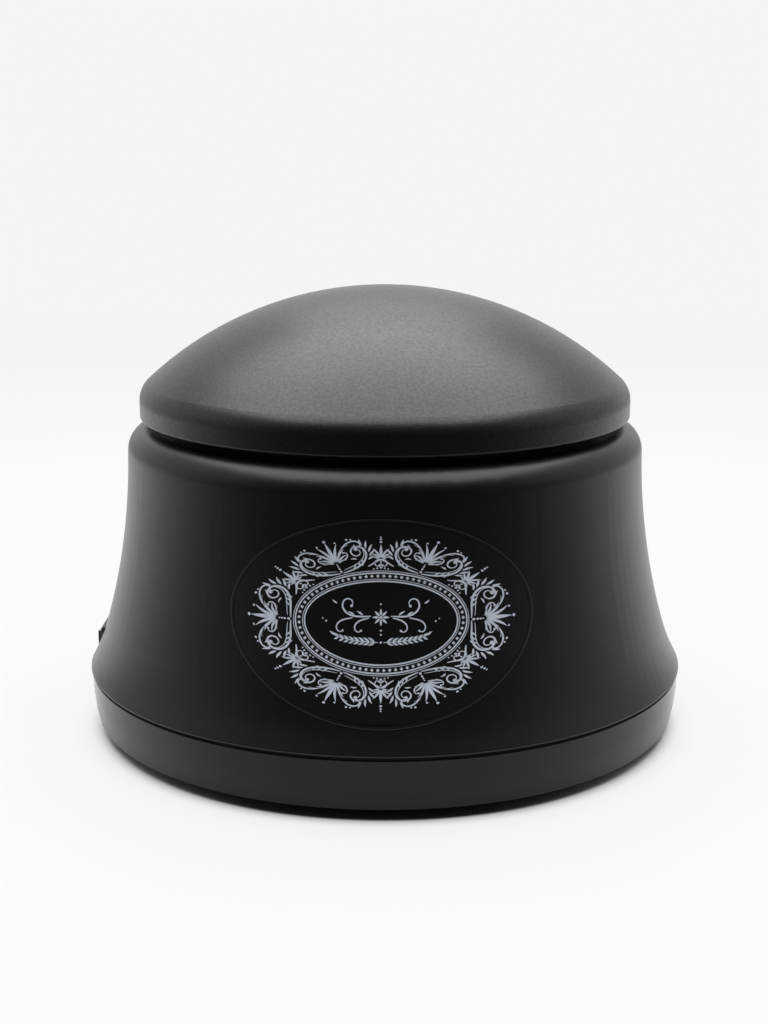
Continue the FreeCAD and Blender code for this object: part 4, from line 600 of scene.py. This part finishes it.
centre = [petal(-90), petal(90), bead(0, ROSETTE_HEIGHT, 0.42),
          bead(0, 5.4, 0.26), bead(0, -2.2, 0.34, 2), bead(0, -3.4, 0.26), bead(0, -5.6, 0.4, 2)]
flourish = [petal(-45), petal(0), petal(45)]
flourish += volute(2.9, 1.9, -4, 15.5, 0.0, 0.98, 0.26, 0.4)
flourish += volute(3.4, 1.4, -14, 8.2, 0.0, -1.3, 0.22, 0.34)
flourish += volute(8.2, 1.4, -14, 8.6, 0.03, -1.25, 0.2, 0.32)
flourish += [leaf(5.2, 2.1, 50, 2.2, -0.2, 0.26), leaf(7.6, 2.0, 46, 2.2, -0.2, 0.26),
             leaf(12.6, 5.4, 20, 1.8, 0.2, 0.24), bead(15.9, 0.2, 0.26), bead(16.9, 0.9, 0.2)]
stem = scroll(0.8, -5.6, 3, 12.6, 0.0, 0.07, 0.08, 0.13)
flourish += [stem, leaf(*stem[-1][0], 30, 2.0, 0.05, 0.3)]
for number, k in enumerate(range(2, len(stem) - 1, LAUREL_PACE)):
    x, y = stem[k][1]
    reach = LAUREL_LEAF - LAUREL_TAPER * number
    flourish += [leaf(x, y + 0.1, 44, reach, -0.1, 0.32), leaf(x, y, -32, reach * 0.9, 0.12, 0.3)]
for mark in centre:
    print_ink.ribbon(mark)
for mark in flourish:
    for mirror in (1, -1):
        print_ink.ribbon([[(x * mirror, y) for x, y in pair] for pair in mark])

silver_ink = Finish("silver_ink")
patches = silver_ink.noise(0.0011, 3)
screen = silver_ink.noise(0.00018, 1)
silver_ink.surface(
    base=silver_ink.mix(patches, (0.46, 0.507, 0.575), (0.62, 0.683, 0.77)),
    roughness=0.42 + 0.12 * patches,
    normal=silver_ink.bump(screen, 0.000008))
print_ink.piece("scroll_ornament", silver_ink, "housing", "nameplate_print")


# --------------------------------------------------------------------------------------------------
# Base tray, feet and the screws that close the machine
# The tray is moulded in plain black ABS with a fine tool texture and carries four stick-on rubber
# feet. Four zinc-plated pan-head screws go up through it into the columns of the bell.
# --------------------------------------------------------------------------------------------------

def moulded(name, colour, roughness, lump=0.0004, depth=0.00002):
    """Plain moulded plastic with the fine texture of its tool."""
    finish = Finish(name)
    texture = finish.noise(lump, 3, 0.6)
    flow = finish.noise(0.02, 2)
    return finish.surface(
        base=finish.mix(flow, [0.88 * c for c in colour], [1.15 * c for c in colour]),
        roughness=roughness + 0.07 * (flow - 0.5) + 0.08 * (texture - 0.5),
        normal=finish.bump(texture, depth))


TRAY_ROUGHNESS = 0.33
TRAY_COAT = 0.85
DULL_EDGE = (0.01940, 0.01958)    # heights between which the ring's polish ends, near its top
tray = moulded("tray_plastic", (0.0030, 0.0022, 0.0031), TRAY_ROUGHNESS)
edge = tray.along("Z").ramp(*DULL_EDGE)
tray.surface(specular=0.08, roughness=TRAY_ROUGHNESS + 0.6 * edge, coat=TRAY_COAT * (1 - edge),
             coat_roughness=0.13)

RING_FROM = 0.0974          # only what lies further out belongs to the ring's outer wall
RING_TOP = 0.0197
# how far the wall moves out at each height
RING_SWELL = ((0.0033, 0), (0.0039, 0.00025), (0.0090, 0.00080), (0.0141, 0.00087),
              (0.01925, 0.00044), (0.01965, 0.00070))
HAIR = 1e-6                 # two places nearer than this are the same


def fuller_ring(point):
    """Moves the ring's outer wall outwards until it stands almost level with the bell's lip."""
    radius = math.hypot(point.x, point.y)
    if radius < RING_FROM or point.z > RING_TOP:
        return point
    for (low, start), (high, end) in zip(RING_SWELL, RING_SWELL[1:]):
        if point.z <= high + HAIR:
            swell = start + (end - start) * (point.z - low) / (high - low)
            break
    grow = (radius + swell) / radius
    return Vector((point.x * grow, point.y * grow, point.z))


replace_by_copy("base_tray", "tray", tray, fuller_ring)

foot_rubber = Finish("foot_rubber")
dust = foot_rubber.noise(0.0009, 4, 0.7)
foot_rubber.surface(
    base=foot_rubber.mix(dust.ramp(0.5, 0.75), (0.016, 0.016, 0.016), (0.045, 0.044, 0.042)),
    roughness=0.7 + 0.15 * dust,
    normal=foot_rubber.bump(dust, 0.00003))
dress(foot_rubber, "rubber_foot_1", "rubber_foot_2", "rubber_foot_3", "rubber_foot_4")


def plated(name, colour, tint, roughness):
    """Plated steel: the plating varies a little in tint and in gloss."""
    finish = Finish(name)
    cloud = finish.noise(0.0022, 3)
    scratches = finish.noise(0.00035, 2)
    return finish.surface(
        base=finish.mix(cloud, colour, tint), metallic=1.0,
        roughness=roughness + 0.12 * (cloud - 0.5) + 0.06 * scratches,
        normal=finish.bump(scratches, 0.000006))


zinc = plated("zinc_plating", (0.60, 0.61, 0.62), (0.66, 0.64, 0.56), 0.3)

SCREW_CORNERS = 24
HEAD_PROFILE = ((0, 0), (1, 0), (1, 0.35), (0.95, 0.66), (0.84, 0.88), (0.70, 1.0))
RECESS_ARM = 0.52           # of the head's radius
RECESS_SLOT = 0.15
RECESS_DEPTH = 0.72         # of the head's height
RECESS_FLOOR = 0.6          # its size at the bottom, of that at its mouth
THREAD_PITCH = 1.0          # mm
THREAD = ((0.1, 0.78), (0.5, 1.0))    # its root and its crest: share of pitch, and of shank
NECK = 0.6                  # of the shank's radius, where the thread runs into the head
TIP = 0.3


def add_ring(mesh, x, y, height, radius):
    """A level loop of new points round an upright axis."""
    turns = [2 * math.pi * k / SCREW_CORNERS for k in range(SCREW_CORNERS)]
    return [mesh.verts.new((x + radius * math.cos(turn), y + radius * math.sin(turn), height))
            for turn in turns]


def bridge(mesh, first, second):
    """Faces between two loops with as many points each."""
    count = len(first)
    for k in range(count):
        j = (k + 1) % count
        mesh.faces.new((first[k], first[j], second[j], second[k]))


def add_screw(mesh, x, y, seat, away, head, rise, shank, length):
    """One pan-head screw with a cross recess; away is the head's side, 1 for up or -1 for down.
    Its head has a radius and a rise, and its shank a radius and a length, all in metres."""
    rings = [add_ring(mesh, x, y, seat + away * rise * up, max(head * out, shank * NECK))
             for out, up in HEAD_PROFILE]
    for first, second in zip(rings, rings[1:]):
        bridge(mesh, first, second)

    arm, slot = head * RECESS_ARM, head * RECESS_SLOT
    quarter = ((arm, -slot), (arm, slot), (slot, slot))
    cross = []
    for k in range(4):
        turn = math.pi / 2 * k
        cross += [(a * math.cos(turn) - b * math.sin(turn), a * math.sin(turn) + b * math.cos(turn))
                  for a, b in quarter]
    top = seat + away * rise
    mouth = [mesh.verts.new((x + a, y + b, top)) for a, b in cross]
    floor = [mesh.verts.new((x + a * RECESS_FLOOR, y + b * RECESS_FLOOR,
                             top - away * rise * RECESS_DEPTH)) for a, b in cross]
    bridge(mesh, mouth, floor)
    mesh.faces.new(floor)
    edges = []
    for loop in (rings[-1], mouth):
        for k, vertex in enumerate(loop):
            following = loop[(k + 1) % len(loop)]
            edges.append(mesh.edges.get((vertex, following)))
    bmesh.ops.triangle_fill(mesh, edges=edges, use_beauty=True)

    turns = int(length * 1000 / THREAD_PITCH) - 1
    rings = [rings[0]]
    for k in range(turns):
        for share, radius in THREAD:
            depth = (k + share) * THREAD_PITCH * MM
            rings.append(add_ring(mesh, x, y, seat - away * depth, shank * radius))
    rings.append(add_ring(mesh, x, y, seat - away * length, shank * TIP))
    for first, second in zip(rings, rings[1:]):
        bridge(mesh, first, second)
    mesh.faces.new(rings[-1])


def screws(node, body, head_below, shank_share):
    """Replaces a node of like screws: each solid's own box gives the place and the size, and the
    shank's radius is a share of the head's."""
    source = bmesh.new()
    source.from_mesh(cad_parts[node].data)
    bmesh.ops.remove_doubles(source, verts=source.verts, dist=HAIR)
    mesh = bmesh.new()
    seen = set()
    for start in source.verts:
        if start in seen:
            continue
        seen.add(start)
        found = [start]
        for vertex in found:
            for edge in vertex.link_edges:
                other = edge.other_vert(vertex)
                if other not in seen:
                    seen.add(other)
                    found.append(other)
        low = [min(v.co[axis] for v in found) for axis in range(3)]
        high = [max(v.co[axis] for v in found) for axis in range(3)]
        x, y = (low[0] + high[0]) / 2, (low[1] + high[1]) / 2
        head = (high[0] - low[0]) / 2
        heights = sorted({round(v.co.z, 6) for v in found})
        rise = heights[1] - heights[0] if head_below else heights[-1] - heights[-2]
        seat = low[2] + rise if head_below else high[2] - rise
        add_screw(mesh, x, y, seat, -1 if head_below else 1, head, rise, head * shank_share,
                  high[2] - low[2] - rise)
    source.free()
    bmesh.ops.recalc_face_normals(mesh, faces=mesh.faces)
    piece = add_piece(f"detailed_{node}", mesh, zinc, body)
    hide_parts(node)


screws("housing_screws", "housing", head_below=True, shank_share=0.53)

# A dull rib of the tray closes the seam behind the lip. It stops short of the jack, at 90 degrees
# from the right, and of the switch, at 180.
RIB_CORNERS = ((0.0980, 0.01960), (0.0998, 0.01960), (0.0998, 0.02040), (0.0980, 0.02040))
RIB_SPANS = ((-172, 83), (97, 172))
RIB_STEP = 2                # degrees
rib = bmesh.new()
for start, end in RIB_SPANS:
    steps = (end - start) // RIB_STEP
    loops = []
    for k in range(steps + 1):
        turn = math.radians(start + (end - start) * k / steps)
        loops.append([rib.verts.new((radius * math.cos(turn), radius * math.sin(turn), height))
                      for radius, height in RIB_CORNERS])
    for first, second in zip(loops, loops[1:]):
        bridge(rib, first, second)
    rib.faces.new(loops[0])
    rib.faces.new(loops[-1])
bmesh.ops.recalc_face_normals(rib, faces=rib.faces)
dull = moulded("dull_plastic", (0.015, 0.015, 0.016), 0.85).surface(specular=0.06)
add_piece("seam_rib", rib, dull, "housing")


# --------------------------------------------------------------------------------------------------
# Rocker switch
# A snap-in switch in the left side of the skirt: satin black nylon case and rocker. A bar and a
# ring are pad-printed in white on the rocker's two facets.
# --------------------------------------------------------------------------------------------------

dress(moulded("switch_nylon", (0.010, 0.010, 0.010), 0.42, lump=0.0003, depth=0.000012),
      "switch_body", "power_rocker")

SWITCH_HEIGHT = 0.02575
TO_THE_LEFT = -0.12         # where the marks are cast from, towards the rocker
MARK_REACH = 3.1            # from the rocker's middle to the middle of a mark, in mm
BAR_WIDE, BAR_HIGH = 0.17, 1.05    # half its width and half its height
RING_RADII = (0.72, 1.02)
RING_STEPS = 32
marks = Ink("power_rocker", origin=(TO_THE_LEFT, 0, SWITCH_HEIGHT), right=(0, -1, 0),
            towards=(1, 0, 0))
marks.ribbon([[(MARK_REACH + aside, BAR_HIGH), (MARK_REACH + aside, -BAR_HIGH)]
              for aside in (-BAR_WIDE, BAR_WIDE)])
marks.ribbon([[(radius * math.cos(turn) - MARK_REACH, radius * math.sin(turn))
               for radius in RING_RADII]
              for turn in (2 * math.pi * k / RING_STEPS for k in range(RING_STEPS))], closed=True)
white_ink = Finish("white_ink")
thin = white_ink.noise(0.0005, 3)
white_ink.surface(base=white_ink.mix(thin, (0.66, 0.66, 0.65), (0.80, 0.80, 0.79)),
                  roughness=0.45 + 0.1 * thin)
marks.piece("rocker_marks", white_ink, "power_rocker", "switch_plastic")


# --------------------------------------------------------------------------------------------------
# Power jack
# A round low-voltage jack at the back: glossy black barrel with its nickel-plated centre pin, held
# from inside by a hexagon nut.
# --------------------------------------------------------------------------------------------------

dress(moulded("jack_plastic", (0.008, 0.008, 0.008), 0.3, lump=0.0006, depth=0.000006),
      "jack_body")
dress(plated("nickel_plating", (0.70, 0.68, 0.63), (0.76, 0.74, 0.70), 0.16),
      "jack_pin", "jack_nut")


# --------------------------------------------------------------------------------------------------
# Finger deck and its sleeves
# A satin black ABS deck with five openings, each lined with a soft grey silicone sleeve that closes
# round the finger. The sleeves are pressed into place and come out for cleaning.
# --------------------------------------------------------------------------------------------------

dress(moulded("deck_plastic", (0.012, 0.012, 0.0125), 0.38), "finger_deck")

silicone = Finish("grey_silicone")
haze = silicone.noise(0.006, 3)
lint = silicone.noise(0.0007, 4, 0.7)
silicone.surface(
    base=silicone.mix(haze, (0.20, 0.20, 0.215), (0.27, 0.27, 0.285)),
    roughness=0.5 + 0.12 * haze + 0.06 * lint, subsurface=0.06,
    normal=silicone.bump(lint, 0.00001))
dress(silicone, "thumb_sleeve", "finger_sleeve_1", "finger_sleeve_2", "finger_sleeve_3",
      "finger_sleeve_4")


# --------------------------------------------------------------------------------------------------
# Inside of the lid
# A satin black liner plate closes the dome and carries the spigot with its silicone seal. Three
# screws hold it to bosses of the dome.
# --------------------------------------------------------------------------------------------------

dress(moulded("liner_plastic", (0.011, 0.011, 0.0115), 0.34), "lid_liner")
dress(silicone, "lid_seal")
screws("lid_screws", "lid", head_below=True, shank_share=0.53)


# --------------------------------------------------------------------------------------------------
# Vapour bowl
# Drawn from thin aluminium, so fine rings from the drawing run round its wall and its floor. It
# hangs under the ledge on four screws, with a silicone gasket between.
# --------------------------------------------------------------------------------------------------

def from_axis(finish):
    """How far a point lies from the machine's axis."""
    x, y = finish.along("X"), finish.along("Y")
    return (x * x + y * y) ** 0.5


bowl = Finish("drawn_aluminium")
profile = bowl.node("ShaderNodeCombineXYZ", sockets={"X": from_axis(bowl), "Z": bowl.along("Z")})
rings = bowl.noise(0.00035, 3, 0.6, profile)
stain = bowl.noise(0.012, 3)
bowl.surface(
    base=bowl.mix(stain, (0.736, 0.7406, 0.7544), (0.80, 0.805, 0.82)), metallic=1.0,
    roughness=0.27 + 0.14 * (rings - 0.5) + 0.1 * stain, normal=bowl.bump(rings, 0.000012))
dress(bowl, "vapour_bowl")
dress(silicone, "chamber_gasket")
screws("bowl_screws", "housing", head_below=True, shank_share=0.53)


# --------------------------------------------------------------------------------------------------
# Heater, thermostat and thermal fuse
# A flat element in an aluminium case, pressed up against the bowl by a zinc-plated bar and two
# nuts. The snap-disc thermostat and the fuse touch the bowl beside it.
# --------------------------------------------------------------------------------------------------

BLEND = 0.0001              # half of what a change from one finish to another takes
HEATER_RADIUS = 0.030
HEATER_RIM = 0.0010         # of tan insulation
heater = Finish("heater_casing")
rim = from_axis(heater).step(HEATER_RADIUS - HEATER_RIM, 2 * BLEND)
scale = heater.noise(0.0018, 4, 0.6)
heater.surface(
    base=heater.mix(rim, heater.mix(scale, (0.50, 0.50, 0.51), (0.60, 0.60, 0.61)),
                    heater.mix(scale, (0.34, 0.24, 0.13), (0.46, 0.35, 0.21))),
    metallic=1 - rim, roughness=0.42 + 0.3 * rim + 0.1 * scale, normal=heater.bump(scale, 0.00003))
dress(heater, "heater_disc")
dress(zinc, "heater_clamp", "clamp_nuts")

CAP_HEIGHT = 0.0030         # of the thermostat's metal cap, at its top
BLADE_HEIGHT = 0.0060       # of its metal blades, at its bottom
thermostat_low, thermostat_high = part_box("thermostat")
thermostat = Finish("thermostat_case")
height = thermostat.along("Z")
bare = height.step(thermostat_high[2] - CAP_HEIGHT, BLEND) \
    + height.step(thermostat_low[2] + BLADE_HEIGHT, -BLEND)
fleck = thermostat.noise(0.0008, 3)
phenolic = thermostat.mix(fleck, (0.045, 0.022, 0.013), (0.075, 0.04, 0.024))
metal = thermostat.mix(fleck, (0.62, 0.62, 0.63), (0.70, 0.70, 0.70))
thermostat.surface(
    base=thermostat.mix(bare, phenolic, metal), metallic=bare, roughness=0.34 + 0.14 * fleck,
    normal=thermostat.bump(fleck, 0.00001))
dress(thermostat, "thermostat")

FUSE_HALF = 0.0060          # half the length of its barrel, beyond which its leads start
fuse = Finish("fuse_barrel")
side = fuse.along("X")
lead = (side * side).ramp(FUSE_HALF ** 2, (FUSE_HALF + BLEND) ** 2)
tarnish = fuse.noise(0.0014, 3)
fuse.surface(
    base=fuse.mix(lead, fuse.mix(tarnish, (0.62, 0.47, 0.22), (0.74, 0.60, 0.34)),
                  (0.62, 0.62, 0.62)),
    metallic=1.0, roughness=0.25 + 0.2 * tarnish)
dress(fuse, "thermal_fuse")


# --------------------------------------------------------------------------------------------------
# Control board
# A green glass-fibre board on four posts of the tray, with a blue relay, a sleeved capacitor with a
# bare aluminium top and a green four-way terminal block.
# --------------------------------------------------------------------------------------------------

TRACK_PITCH = {"X": 0.0021, "Y": 0.0017}    # of the copper tracks across each axis
TRACK_SHARE = 0.4           # of the pitch that copper takes up
TRACK_BLEND = 0.00003
COPPER_RISE = 0.00003
AREA_SIZE = 0.013           # of the areas in which the tracks run one way or the other
PAD_PACE = 0.0065           # from one solder pad to the next
PAD_EDGE = (0.13, 0.10)     # of that pace


def tracks_across(finish, axis):
    """1 on straight tracks across an axis, and 0 between them."""
    along, half = finish.along(axis), TRACK_PITCH[axis] / 2
    return along.math("PINGPONG", along, half).step(half * TRACK_SHARE, -TRACK_BLEND)


board = Finish("board_laminate")
area = board.node("ShaderNodeTexVoronoi", {"distance": "CHEBYCHEV", "voronoi_dimensions": "2D"},
                  {"Vector": board.place(), "Scale": 1 / AREA_SIZE}, "Color")
turned = area.step(0.5, 0.01)
tracks = turned * tracks_across(board, "X") + (1 - turned) * tracks_across(board, "Y")
pad = board.node("ShaderNodeTexVoronoi", {"voronoi_dimensions": "2D"}, {
    "Vector": board.place(), "Scale": 1 / PAD_PACE, "Randomness": 0.35}, "Distance").ramp(*PAD_EDGE)
weave = board.noise(0.0006, 2)
lacquered = board.mix(tracks, board.mix(weave, (0.010, 0.085, 0.030), (0.014, 0.11, 0.042)),
                      (0.040, 0.19, 0.070))
board.surface(
    base=board.mix(pad, lacquered, (0.62, 0.62, 0.60)), metallic=pad,
    roughness=0.22 + 0.12 * weave,
    normal=board.bump(tracks.math("MAXIMUM", tracks, pad), COPPER_RISE))
dress(board, "control_board")
screws("board_screws", "housing", head_below=False, shank_share=0.48)

dress(moulded("relay_case", (0.012, 0.070, 0.33), 0.24, lump=0.0008, depth=0.000006), "relay")

STRIPE_FROM = (-0.0295, -0.0292)    # the pale stripe of the sleeve lies to the right of this
BARE_TOP = 0.0004           # of the can, above its sleeve
can_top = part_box("capacitor")[1][2]
can = Finish("capacitor_sleeve")
bare = can.along("Z").step(can_top - BARE_TOP, BLEND)
shrink = can.noise(0.003, 2)
sleeve = can.mix(can.along("X").ramp(*STRIPE_FROM), (0.010, 0.012, 0.022), (0.40, 0.41, 0.43))
can.surface(
    base=can.mix(bare, sleeve, (0.72, 0.72, 0.73)), metallic=bare,
    roughness=0.25 + 0.12 * shrink, normal=can.bump(shrink, 0.00002))
dress(can, "capacitor")

WELL_FLOOR = (0.0022, 0.00205)    # depths between which the clamp screws in their wells start,
WELL_END = 0.0020                 # and where they end
block_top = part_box("terminal_block")[1][2]
terminals = Finish("terminal_plastic")
height = terminals.along("Z")
clamp = (1 - height.step(block_top - WELL_END, BLEND)) \
    * height.ramp(*(block_top - depth for depth in WELL_FLOOR))
grit = terminals.noise(0.0005, 3)
green = terminals.mix(grit, (0.018, 0.125, 0.035), (0.024, 0.15, 0.045))
terminals.surface(
    base=terminals.mix(clamp, green, (0.60, 0.60, 0.60)), metallic=clamp,
    roughness=0.38 + 0.1 * grit, normal=terminals.bump(grit, 0.00001))
dress(terminals, "terminal_block")


# --------------------------------------------------------------------------------------------------
# Inner wiring
# Pairs of stranded leads in PVC, one red and one black, and to the heater a pair in varnished glass
# fibre. All are soldered or clamped at both ends.
# --------------------------------------------------------------------------------------------------

def pair_of_leads(name, axis, colour, other, weave):
    """Two leads that lie on either side of zero along an axis."""
    finish = Finish(name)
    which = finish.along(axis).step(0, BLEND)
    surface = finish.noise(weave, 3)
    return finish.surface(
        base=finish.mix(surface, finish.mix(which, colour, other),
                        finish.mix(which, [1.2 * c for c in colour], [1.2 * c for c in other])),
        roughness=0.32 + 0.2 * surface, normal=finish.bump(surface, 0.00001))


PVC_BLACK, PVC_RED, GLASS_FIBRE = (0.012, 0.012, 0.012), (0.36, 0.018, 0.014), (0.50, 0.46, 0.36)
dress(pair_of_leads("jack_leads", "X", PVC_BLACK, PVC_RED, weave=0.002), "jack_leads")
dress(pair_of_leads("switch_leads", "Y", PVC_RED, PVC_BLACK, weave=0.002), "switch_leads")
dress(pair_of_leads("heater_leads", "X", GLASS_FIBRE, GLASS_FIBRE, weave=0.0004), "heater_leads")
